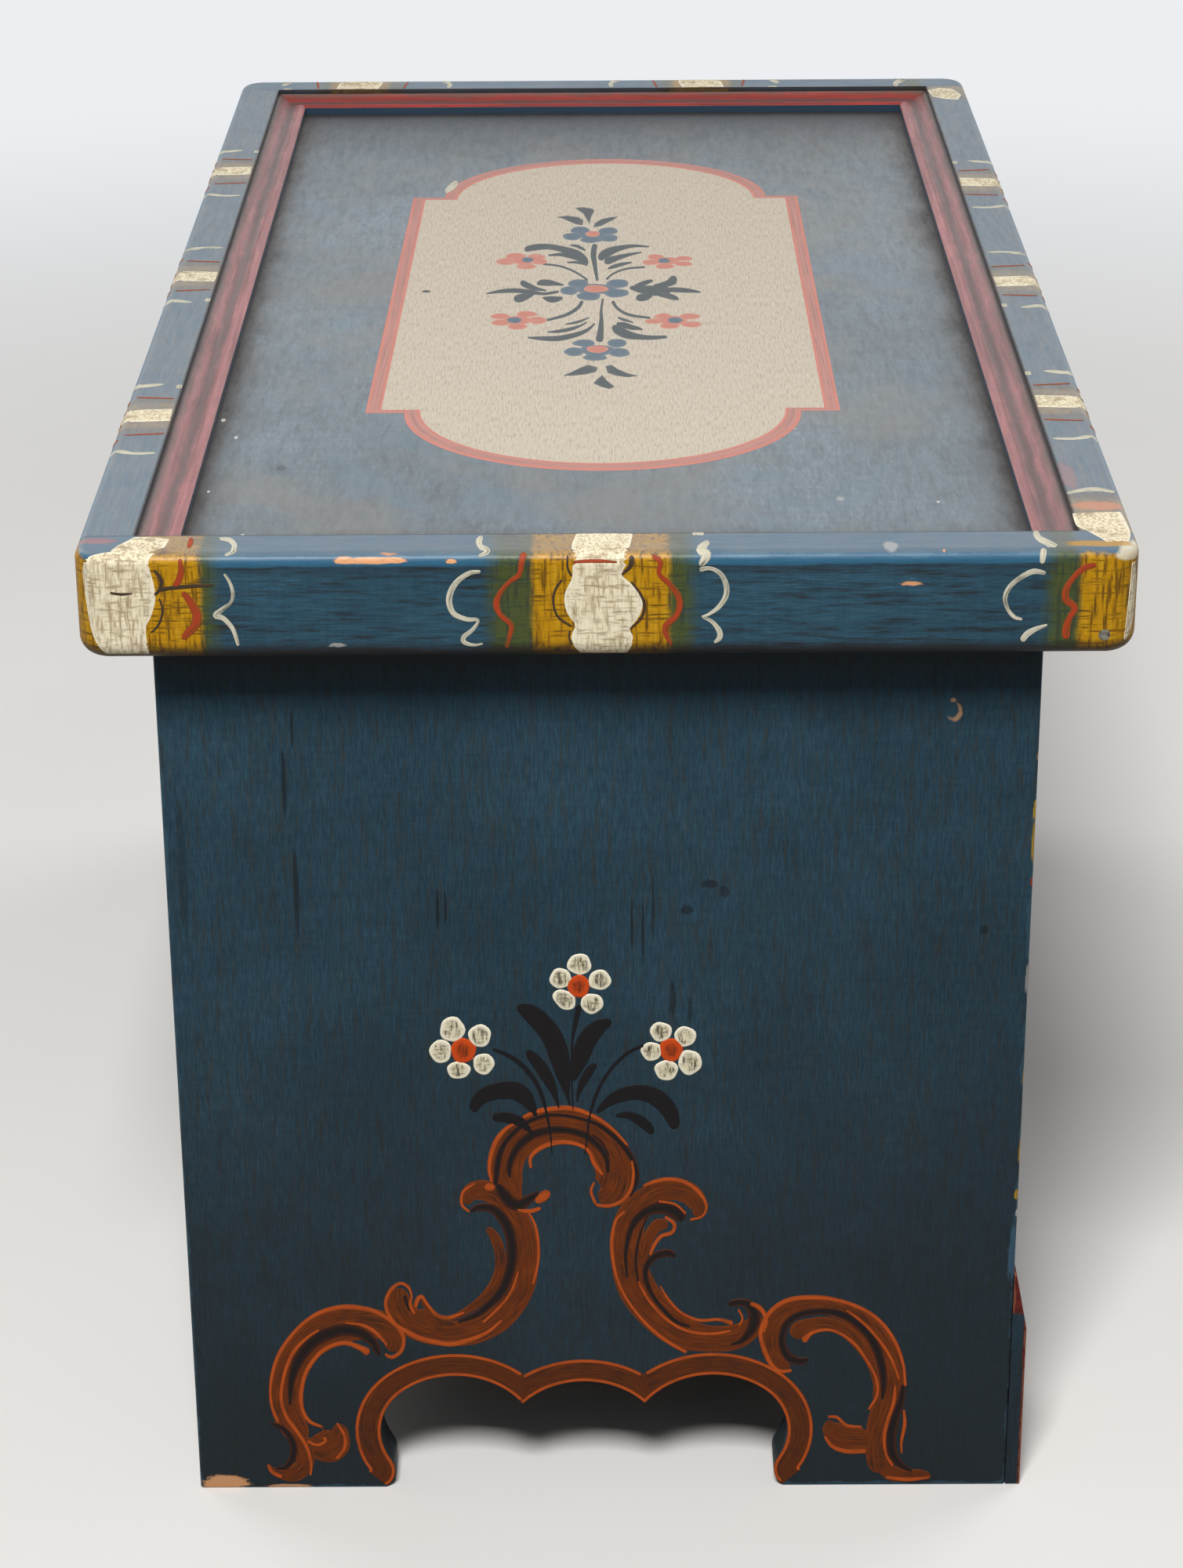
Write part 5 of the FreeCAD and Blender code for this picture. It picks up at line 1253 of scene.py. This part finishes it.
spray = dict(
    blueFlowers=[
        (740, 294, 13, 4.9), (776, 295, 13, 4.9), (730, 302, 13, 4.9), (776, 304, 13, 4.9),
        (754, 306, 15, 4.4), (738, 362, 14, 5.9), (788, 362, 15, 5.9), (726, 371, 12, 5.9),
        (786, 374, 17, 5.9), (751, 378, 16, 5.9), (745, 438, 15, 4.9), (787, 438, 13, 5.9),
        (732, 449, 13, 5.9), (790, 450, 14, 5.9), (759, 456, 16, 4.9)],
    coralHearts=[(756, 299, 10, 4), (760, 369, 17, 5), (762, 446, 15, 5)],
    coralFlowers=[
        (658, 327, 14, 4), (684, 328, 12, 4), (645, 334, 13, 4.5), (688, 334, 11, 4), (671, 340, 13, 4),
        (836, 328, 11, 3.5), (872, 330, 12, 3), (830, 335, 12, 3.5), (872, 337, 12, 3), (848, 340, 13, 3.5),
        (638, 404, 13, 4), (672, 401, 14, 4), (639, 412, 13, 4), (686, 409, 12, 5), (660, 417, 13, 4),
        (846, 404, 12, 4), (880, 404, 14, 4), (833, 410, 11, 3.5), (882, 414, 14, 4), (854, 416, 13, 4)],
    blueGrounds=[(756, 300, 22, 5), (760, 369, 28, 7), (762, 447, 24, 7)],
    coralGrounds=[(668, 333, 18, 5), (850, 333, 18, 5), (660, 409, 20, 6), (858, 409, 20, 6)],
    blueHearts=[(673, 332, 8, 3.5), (847, 333, 8, 3.2), (656, 409, 10, 4), (861, 409, 10, 4)],
    stems=[
        ([7.5, 8, 6, 3.5], [(759, 311), (757, 325), (759, 340), (762, 359)]),
        ([7, 9, 8, 9, 13, 11, 3], [(669, 319), (681, 316), (700, 315), (720, 319), (735, 325), (745, 332),
         (750, 337)]),
        ([2, 5, 8, 8, 2], [(699, 326), (715, 325), (730, 327), (742, 331), (750, 336)]),
        ([2, 3.5, 3, 1.5], [(723, 335), (735, 335), (745, 337), (750, 339)]),
        ([1.5, 4, 4, 2], [(727, 313), (735, 314), (742, 317), (747, 320)]),
        (2.8, [(692, 337), (715, 340), (735, 348), (750, 358)]),
        ([2, 4.5, 8, 12, 12, 6], [(828, 315), (808, 314), (790, 317), (776, 322), (768, 328), (767, 333)]),
        ([1.5, 4.5, 7.5, 10, 6], [(819, 322), (803, 325), (788, 329), (776, 333), (771, 336)]),
        ([2, 4.5, 5.5, 2], [(806, 335), (795, 337), (784, 340), (775, 343)]),
        (2.8, [(823, 341), (800, 343), (783, 349), (773, 357)]),
        ([1.5, 5, 6.5, 6, 4, 4, 3], [(620, 375), (638, 372), (658, 371), (678, 373), (692, 375), (703, 374),
         (713, 372)]),
        ([6, 8.5, 8, 5, 2], [(664, 359), (668, 362), (676, 366), (686, 369), (697, 371)]),
        ([2, 6, 9, 8, 4], [(719, 364), (708, 362), (698, 361), (690, 361), (685, 363)]),
        ([7, 11.5, 9, 4], [(655, 381), (662, 381), (672, 378), (682, 374)]),
        ([2, 8.5, 8, 3], [(692, 380), (701, 382), (710, 382), (718, 380)]),
        ([4, 10, 14, 14, 8], [(803, 367), (815, 369), (830, 371), (842, 371), (856, 371)]),
        ([5, 7, 6, 3], [(808, 367), (818, 363), (826, 360), (833, 358)]),
        ([8, 8, 10, 13, 8], [(833, 367), (845, 364), (854, 361), (860, 357), (864, 356)]),
        ([6, 7, 6, 2], [(846, 370), (862, 370), (878, 371), (894, 373)]),
        ([8, 8, 7, 3], [(838, 374), (850, 377), (860, 380), (866, 382)]),
        ([7, 10, 10, 6], [(811, 381), (817, 380), (824, 379), (832, 376)]),
        ([5, 5, 4.5, 3], [(743, 384), (737, 393), (722, 402), (697, 409)]),
        ([5, 4, 4, 3], [(781, 384), (788, 394), (803, 402), (830, 406)]),
        ([3, 3.5, 6, 9, 12], [(769, 381), (767, 395), (767, 410), (766, 424), (764, 437)]),
        ([2, 6, 7.5, 7, 5, 2], [(673, 431), (692, 432), (712, 432), (732, 428), (748, 422), (759, 413)]),
        ([1.5, 4.5, 5, 3, 1.5], [(698, 424), (712, 423), (728, 420), (740, 416), (749, 411)]),
        ([1.5, 3.5, 3, 1.2], [(721, 414), (733, 412), (743, 409), (752, 405)]),
        ([6, 13, 12, 8, 6, 4], [(781, 416), (788, 421), (800, 427), (815, 430), (832, 431), (851, 430)]),
        ([4, 8, 7, 5, 2], [(786, 413), (796, 415), (806, 418), (813, 419), (820, 421)]),
        ([2, 4, 3, 1.5], [(788, 405), (795, 408), (802, 410), (808, 412)]),
        ([1.5, 3.5, 1.5], [(538, 372), (544, 372), (549, 372)])],
    tips=[
        [(733, 265), (744, 264), (756, 266), (759, 269), (755, 276), (752, 287), (748, 280), (744, 273),
         (738, 269)],
        [(708, 277), (723, 275), (738, 277), (745, 281), (744, 288), (736, 287), (726, 283), (717, 279)],
        [(790, 276), (778, 277), (766, 280), (758, 285), (756, 291), (766, 289), (776, 284), (784, 280)],
        [(716, 480), (728, 475), (740, 469), (751, 465), (764, 469), (761, 475), (748, 478), (730, 480)],
        [(771, 467), (779, 465), (788, 471), (802, 477), (816, 480), (802, 482), (786, 480), (774, 476)],
        [(768, 478), (774, 485), (785, 494), (778, 497), (766, 494), (756, 489), (762, 483)]],
    scuff=[([5, 9, 6], [(568, 245), (576, 239), (584, 232)])],
)


def paintCartouche(stem, place, seen, body, grain):
    # the cream patch reaches under the middle of the coral border; the spray lies on top
    side, end = cartouche["borderSide"], cartouche["borderEnd"]
    outer, under, inner = [cartoucheOutline(side * share, end * share) for share in (0.0, 0.5, 1.0)]
    addPiece(stem + "_cream", [paintDab(place, under, film["body"], grain)], paints["cream"], body)
    loop = np.r_[np.arange(len(outer)), 0]
    border = ribbonBetween(place, outer[loop], inner[loop], film["shade"])
    addPiece(stem + "_border", [border], paints["coral"], body)
    leaves = strokes(seen, spray["stems"], film["stem"])
    leaves += [paintDab(seen, tip, film["stem"]) for tip in spray["tips"]]
    addPiece(stem + "_spray_leaves", leaves, paints["sprayGrey"], body)
    for paint, ground, petals, hearts in (("sprayBlue", "blueGrounds", "blueFlowers", "blueHearts"),
                                          ("sprayCoral", "coralGrounds", "coralFlowers", "coralHearts")):
        skins = dabs(seen, spray[ground], film["ground"]) + dabs(seen, spray[petals], film["line"])
        skins += dabs(seen, spray[hearts], film["sprayHeart"])
        addPiece(stem + "_" + paint, skins, paints[paint], body)


paintCartouche("lid_cartouche", fieldPlace, fieldSeen, "lid", (1, 0, 0))
scuff = strokes(fieldSeen, spray["scuff"], film["scuff"])
addPiece("lid_field_scuff", scuff, paints["bandLine"], "lid")
print("lid field ornamented")


# lid rim: white blocks, scallops, red and dark lines of each band

depth, length = rim["halfDepth"], rim["halfLength"]
rimBars = dict(
    near=dict(out=(-1, 0, 0), along=(0, 1, 0), reach=length, half=depth, height=0.050),
    far=dict(out=(1, 0, 0), along=(0, 1, 0), reach=length, half=depth, height=0.050),
    front=dict(out=(0, -1, 0), along=(1, 0, 0), reach=depth, half=length, height=0.050),
    back=dict(out=(0, 1, 0), along=(1, 0, 0), reach=depth, half=length, height=0.032))


def rimPlace(barName):
    # (s, v) on a lid bar: s along the bar from its middle, round the lid's corner when it runs past it;
    # v from the inner edge of the top outwards, over the top round, down the face and round the foot
    bar = rimBars[barName]
    out, along = np.array(bar["out"], float), np.array(bar["along"], float)
    r1, r2, rc = rim["topRound"], rim["footRound"], rim["corner"]
    flatRun, faceRun = rim["width"] - r1, bar["height"] - r1 - r2

    def place(flat):
        s, v = flat[..., 0:1], flat[..., 1:2]
        t = np.clip(v, 0, flatRun)
        a = np.clip((v - flatRun) / r1, 0, np.pi / 2)
        f = np.clip(v - flatRun - r1 * np.pi / 2, 0, faceRun)
        b = np.clip((v - flatRun - r1 * np.pi / 2 - faceRun) / r2, 0, np.pi / 2)
        inset = rim["width"] - t - r1 * np.sin(a) + r2 * (1 - np.cos(b))
        z = rim["top"] - r1 * (1 - np.cos(a)) - f - r2 * np.sin(b)
        straight = bar["half"] - rc
        g = np.sign(s)
        turn = np.clip((np.abs(s) - straight) / rc, 0, np.pi / 2)
        extra = np.clip(np.abs(s) - straight - rc * np.pi / 2, 0, None)
        plan = out * np.cos(turn) + along * g * np.sin(turn)
        base = out * (bar["reach"] - rc - extra) + along * np.clip(s, -straight, straight) + rc * plan
        spots = base - plan * inset
        spots[..., 2:3] = z
        normal = plan * (np.sin(a) * np.cos(b))
        normal[..., 2:3] = np.cos(a) - np.sin(a) * np.sin(b)
        return spots, normal
    return place


def nearRim(px):
    # photographed points on the near bar as (s, v): on its top, on the top round, its face or the foot round
    r1, r2 = rim["topRound"], rim["footRound"]
    flatRun = rim["width"] - r1
    onFace = seenOn(px, 0, -rim["halfLength"])
    onTop = seenOn(px, 2, rim["top"])
    z = onFace[..., 2]
    over = rim["top"] + rim["over"]
    foot = rim["top"] - rimBars["near"]["height"] + r2
    vTop = rim["width"] - (onTop[..., 0] + rim["halfLength"])
    vRound = flatRun + r1 * np.pi / 2 * (over - z) / (over - rim["top"] + r1)
    vFace = flatRun + r1 * np.pi / 2 + (rim["top"] - r1 - np.maximum(z, foot))
    vFoot = r2 * np.arcsin(np.clip((foot - z) / r2, 0, 1))
    v = np.where(z > over, vTop, np.where(z > rim["top"] - r1, vRound, vFace + vFoot))
    s = np.where(z > over, onTop[..., 1], onFace[..., 1])
    straight = rim["halfDepth"] - rim["corner"]
    past = np.clip((np.abs(s) - straight) / rim["corner"], 0, 1)
    s = np.sign(s) * (np.minimum(np.abs(s), straight) + rim["corner"] * np.arcsin(past))
    return np.stack([s, np.maximum(v, rim["inner"])], axis=-1)


def topSeen(px):
    # photographed points on the flat top of the bars
    return outwards(seenOn(px, 2, rim["top"]), 2, 1)


def nearSeen(px):
    return rimPlace("near")(nearRim(px))


def bandElsewhere(barName, middle, stretch, origin, flip=1):
    # the same band on another bar: s is taken from the band's own middle, drawn together and set at the new
    # middle, and v is squeezed to the height of that bar
    place = rimPlace(barName)
    turned = rim["width"] - rim["topRound"] + rim["topRound"] * np.pi / 2
    squeeze = (rimBars[barName]["height"] - rim["topRound"]) / (rimBars["near"]["height"] - rim["topRound"])

    def seen(px):
        flat = nearRim(px)
        s = middle + flip * stretch * (flat[..., 0] - origin)
        v = np.where(flat[..., 1] > turned, turned + (flat[..., 1] - turned) * squeeze, flat[..., 1])
        return place(np.stack([s, v], axis=-1))
    return seen


middleBand = dict(
    whiteLeft=[(735, 681), (729, 697), (732, 711), (730, 725), (730, 737), (721, 755), (720, 770), (725, 785),
               (734, 797), (729, 810), (731, 822), (740, 835)],
    whiteRight=[(807, 681), (804, 694), (800, 707), (799, 720), (793, 734), (810, 748), (819, 762),
                (819, 777), (812, 791), (803, 802), (807, 811), (806, 823), (800, 835)],
    red=[([10, 8, 7, 6, 7, 9, 7, 7, 6, 5], [(669, 706), (665, 719), (662, 733), (649, 743), (637, 758),
          (633, 771), (638, 784), (652, 797), (650, 811), (646, 827)]),
         ([5, 7, 6, 7, 8, 9, 8, 9, 7, 3], [(832, 710), (842, 717), (841, 732), (853, 744), (864, 758),
          (867, 772), (862, 786), (850, 798), (850, 810), (857, 823)]),
         ([3, 4, 4, 2], [(731, 717), (748, 716), (768, 716), (787, 717)])],
    topRed=[([2, 4, 3, 2], [(692, 682), (689, 688), (687, 694), (684, 700)]),
            ([2, 3, 4, 2], [(838, 682), (840, 688), (842, 694), (845, 700)])],
    dark=[(3, [(724, 710), (724, 724), (729, 735)]),
          (3, [(717, 739), (708, 753), (706, 770), (712, 787), (729, 799)]),
          (2.5, [(727, 804), (726, 813), (730, 822)]), ([7, 6, 2.5], [(806, 710), (804, 722), (793, 733)]),
          ([2.5, 3.5, 4, 3.5, 2.5], [(805, 742), (816, 756), (822, 771), (818, 788), (804, 802)])],
    white=[([5, 8, 7, 8, 6, 3], [(615, 684), (611, 690), (613, 697), (621, 702), (619, 707), (610, 711)]),
           ([4, 6, 7, 8, 8, 7, 6, 4, 5, 6, 6, 4, 2], [(613, 729), (599, 731), (584, 741), (575, 755),
            (573, 769), (579, 783), (595, 790), (610, 791), (603, 803), (592, 812), (592, 819), (604, 823),
            (616, 821)]),
           ([3, 3], [(883, 681), (898, 681)]),
           ([6, 12, 13, 7], [(904, 690), (894, 701), (901, 709), (893, 722)]),
           ([6, 5, 6, 7, 7, 6, 4, 3], [(892, 727), (905, 725), (918, 731), (926, 745), (926, 760), (917, 774),
            (905, 783), (895, 787)]),
           ([3, 5, 7, 7, 3], [(896, 787), (908, 793), (917, 804), (918, 813), (911, 820)])],
)
leftCorner = dict(
    whiteLeft=[(136, 704), (118, 709), (107, 717), (104, 732), (106, 753), (110, 777), (115, 803), (123, 822),
               (134, 836)],
    whiteRight=[(197, 707), (192, 711), (190, 716), (191, 728), (196, 745), (198, 766), (192, 788),
                (186, 802), (190, 836)],
    whiteTop=[(131, 708), (150, 696), (172, 685), (194, 685), (216, 688), (210, 698), (191, 711), (160, 711)],
    red=[([5, 8, 9, 7], [(229, 714), (231, 727), (228, 740), (222, 748)]),
         ([7, 10, 12, 12, 10, 7], [(233, 755), (243, 768), (251, 784), (249, 797), (240, 807), (233, 815)]),
         ([5, 7, 5], [(244, 686), (243, 692), (240, 699)])],
    dark=[([3, 5, 5, 4, 4], [(196, 727), (203, 735), (206, 743), (203, 753), (197, 759)]),
          ([2, 3, 3, 2.5, 2], [(203, 763), (207, 776), (205, 791), (198, 802), (192, 807)]),
          ([4, 5, 5, 4, 2], [(200, 753), (218, 750), (238, 748), (256, 747), (273, 746)]),
          ([3, 4, 2], [(140, 756), (155, 758), (169, 757)])],
    scallop=[([3, 6, 7, 6, 3], [(280, 687), (293, 689), (299, 696), (295, 705), (286, 710)]),
             ([3, 4, 5, 4, 4, 8, 7, 6, 6, 5, 4], [(286, 732), (293, 743), (297, 757), (294, 769), (284, 777),
              (275, 785), (285, 789), (296, 801), (301, 813), (304, 824)])],
)
rightCorner = dict(
    topLeft=[(1368, 655), (1370, 663), (1374, 671), (1385, 676), (1400, 684), (1412, 691)],
    topRight=[(1429, 653), (1434, 661), (1438, 669), (1441, 676), (1442, 683), (1440, 690)],
    topLine=[([3, 4, 5, 4, 2], [(1361, 629), (1376, 626), (1394, 624), (1408, 625), (1422, 628)])],
    farTop=[(1183, 115), (1198, 112), (1214, 113), (1226, 121), (1222, 127), (1204, 126), (1190, 123)],
    white=[([4, 7, 9, 10, 10, 8, 4], [(1448, 722), (1448, 738), (1447, 755), (1445, 775), (1443, 792),
           (1440, 808), (1436, 819)])],
    red=[([7, 8, 7, 9, 10, 9, 8, 11, 10], [(1398, 720), (1382, 725), (1369, 737), (1360, 752), (1360, 765),
         (1371, 775), (1364, 788), (1360, 803), (1360, 815)])],
    scallop=[([8, 8, 8, 4], [(1320, 677), (1325, 686), (1338, 693), (1349, 697)]),
             ([7, 8, 6], [(1333, 700), (1331, 708), (1329, 719)]),
             ([5, 7, 6, 6, 6, 5, 5, 3], [(1334, 731), (1318, 729), (1300, 738), (1287, 750), (1282, 764),
              (1286, 778), (1294, 787), (1304, 790)]),
             ([3, 6, 8, 7], [(1336, 797), (1322, 802), (1310, 809), (1303, 818)])],
)


def whiteBlock(seen, left, right, lift):
    # a band's white block: a strip ruled between its two wavy sides
    return ribbonBetween(seen, *[smoothCurve(line, rim["blockCount"]) for line in (left, right)], lift)


# bars with more bands: their places, and how far the white block and the lines are drawn out along the bar
bandRows = (("back", lidBands["backPlaces"], (0.72, 1.05)), ("front", lidBands["frontPlaces"], (0.72, 1.05)),
            ("far", lidBands["farPlaces"], (1.08, 1.08)))


def paintRim():
    # the middle band of the near bar is repeated on the other bars, turned about from band to band; the
    # corners have their own marks, and the right one is repeated on the far bar
    white, scallops, red, dark = [], [], [], []
    sets = [(nearSeen, nearSeen)]
    nearMiddle = lidBands["near"][0][0]
    for barName, places, stretches in bandRows:
        for index, place in enumerate(places):
            flip = 1 if index % 2 else -1
            sets.append([bandElsewhere(barName, place, stretch, nearMiddle, flip) for stretch in stretches])
            red += strokes(sets[-1][1], middleBand["topRed"], film["line"])
    for seen, seenLines in sets:
        white.append(whiteBlock(seen, middleBand["whiteLeft"], middleBand["whiteRight"], film["shade"]))
        scallops += strokes(seenLines, middleBand["white"], film["shade"])
        red += strokes(seenLines, middleBand["red"], film["line"])
        dark += strokes(seen, middleBand["dark"], film["line"])
    white += [whiteBlock(nearSeen, leftCorner["whiteLeft"], leftCorner["whiteRight"], film["shade"]),
              paintDab(nearSeen, leftCorner["whiteTop"], film["ground"]),
              whiteBlock(topSeen, rightCorner["topLeft"], rightCorner["topRight"], film["shade"]),
              paintDab(topSeen, rightCorner["farTop"], film["shade"])]
    scallops += strokes(nearSeen, leftCorner["scallop"], film["shade"])
    scallops += strokes(topSeen, rightCorner["topLine"], film["shade"])
    red += strokes(nearSeen, leftCorner["red"], film["line"])
    dark += strokes(nearSeen, leftCorner["dark"], film["line"])
    for barName in ("near", "far"):
        seen = bandElsewhere(barName, 0.0, 1.0, 0.0)
        white += strokes(seen, rightCorner["white"], film["shade"])
        scallops += strokes(seen, rightCorner["scallop"], film["shade"])
        red += strokes(seen, rightCorner["red"], film["line"])
    for name, skins, paint in (("white", white, "bandCream"), ("scallops", scallops, "bandLine"),
                               ("red", red, "bandRed"), ("dark", dark, "bandDark")):
        addPiece("lid_rim_" + name, skins, paints[paint], "lid")


paintRim()
print("lid rim ornamented")


# front: two upright cartouches like the lid's, as such chests have

frontPanels = dict(places=(-0.190, 0.190), level=0.297, wide=0.80, tall=0.50, sprayScale=0.55)


def frontPlaces(centre):
    # the lid's cartouche stood up on the front: its length becomes height and its width runs along the front
    face = frontBox[0].y

    def stood(xy, wide, tall):
        along = centre + xy[..., 1:2] * wide
        up = frontPanels["level"] + (xy[..., 0:1] - cartouche["middle"]) * tall
        return outwards(np.concatenate([along, np.full_like(along, face), up], axis=-1), 1, -1)

    def place(xy):
        return stood(np.asarray(xy, float), frontPanels["wide"], frontPanels["tall"])

    def seen(px):
        return stood(seenOn(px, 2, fieldLevel)[..., :2], frontPanels["sprayScale"], frontPanels["sprayScale"])
    return place, seen


for stem, centre in zip(("front_left", "front_right"), frontPanels["places"]):
    place, seen = frontPlaces(centre)
    paintCartouche(stem + "_cartouche", place, seen, "carcass", (0, 0, 1))
print("front ornamented")


# floor, light and background

studio = dict(
    floor=tint(236, 234, 230), floorCloud=tint(226, 224, 220), bounce=tint(128, 126, 122),
    backdrop=tint(236, 238, 241), skyLight=tint(246, 249, 255), sky=0.13, fade=(1.0, 2.6),
    reach=6.0, count=13, drop=-0.0004,
    lamps=(("keyLight", (-2.3, 0.3, 2.9), (-0.44, 0.0, 0.42), 0.8, 116.0),
           ("frontFill", (1.6, -2.2, 1.9), (0.1, 0.0, 0.3), 1.6, 26.0),
           ("backFill", (1.6, 2.2, 1.9), (0.1, 0.0, 0.3), 1.6, 22.0)))


def shownDirectly(tree):
    # 1 for what the camera sees, also in a reflection or through glass
    rays = node(tree, "LightPath").outputs
    direct = plus(tree, rays["Is Camera Ray"], rays["Is Glossy Ray"])
    return plus(tree, direct, rays["Is Transmission Ray"], True)


def makeFloor(scene):
    # square grid of quads on the floor; away from the chest it turns into the plain backdrop
    n = studio["count"]
    grid = np.linspace(-studio["reach"], studio["reach"], n)
    x, y = np.meshgrid(grid, grid, indexing="ij")
    i, j = np.meshgrid(np.arange(n - 1), np.arange(n - 1), indexing="ij")
    a = (i * n + j).ravel()
    mesh = bpy.data.meshes.new("studioFloor")
    mesh.from_pydata(np.column_stack([x.ravel(), y.ravel(), np.full(n * n, studio["drop"])]).tolist(), [],
                     np.column_stack([a, a + n, a + n + 1, a + 1]).tolist())
    floor = bpy.data.objects.new("studioFloor", mesh)
    scene.collection.objects.link(floor)
    made, tree, shader, where = newMaterial("studio_floor")
    shown = shownDirectly(tree)
    pale = blend(tree, noise(tree, where, 2.0, 3.0, 0.5), studio["floor"], studio["floorCloud"])
    plug(tree, blend(tree, shown, studio["bounce"], pale), shader.inputs["Base Color"])
    shader.inputs["Roughness"].default_value = 0.75
    shader.inputs["Specular IOR Level"].default_value = 0.2
    away = node(tree, "VectorMath", {0: where}, operation="LENGTH").outputs[1]
    fade = times(tree, ease(tree, away, *studio["fade"]), shown)
    glow = node(tree, "Emission", {"Color": studio["backdrop"], "Strength": 1.0})
    both = node(tree, "MixShader", {0: fade, 1: shader.outputs[0], 2: glow.outputs[0]})
    output = [one for one in tree.nodes if one.type == "OUTPUT_MATERIAL"][0]
    tree.links.new(both.outputs[0], output.inputs[0])
    mesh.materials.append(made)


def makeStudio():
    scene = bpy.context.scene
    makeFloor(scene)
    world = bpy.data.worlds.new("studioWorld")
    scene.world = world
    world.use_nodes = True
    tree = world.node_tree
    tree.nodes.clear()
    light = node(tree, "Background", {"Color": studio["skyLight"], "Strength": studio["sky"]})
    back = node(tree, "Background", {"Color": studio["backdrop"], "Strength": 1.0})
    both = node(tree, "MixShader", {0: shownDirectly(tree), 1: light.outputs[0], 2: back.outputs[0]})
    tree.links.new(both.outputs[0], node(tree, "OutputWorld").inputs[0])
    for name, place, target, size, power in studio["lamps"]:
        data = bpy.data.lights.new(name, "AREA")
        data.size = size
        data.energy = power
        lamp = bpy.data.objects.new(name, data)
        lamp.location = place
        lamp.rotation_mode = "QUATERNION"
        lamp.rotation_quaternion = (Vector(target) - Vector(place)).to_track_quat("-Z", "Y")
        scene.collection.objects.link(lamp)
    scene.view_settings.view_transform = "Standard"


makeStudio()
print("studio ready")
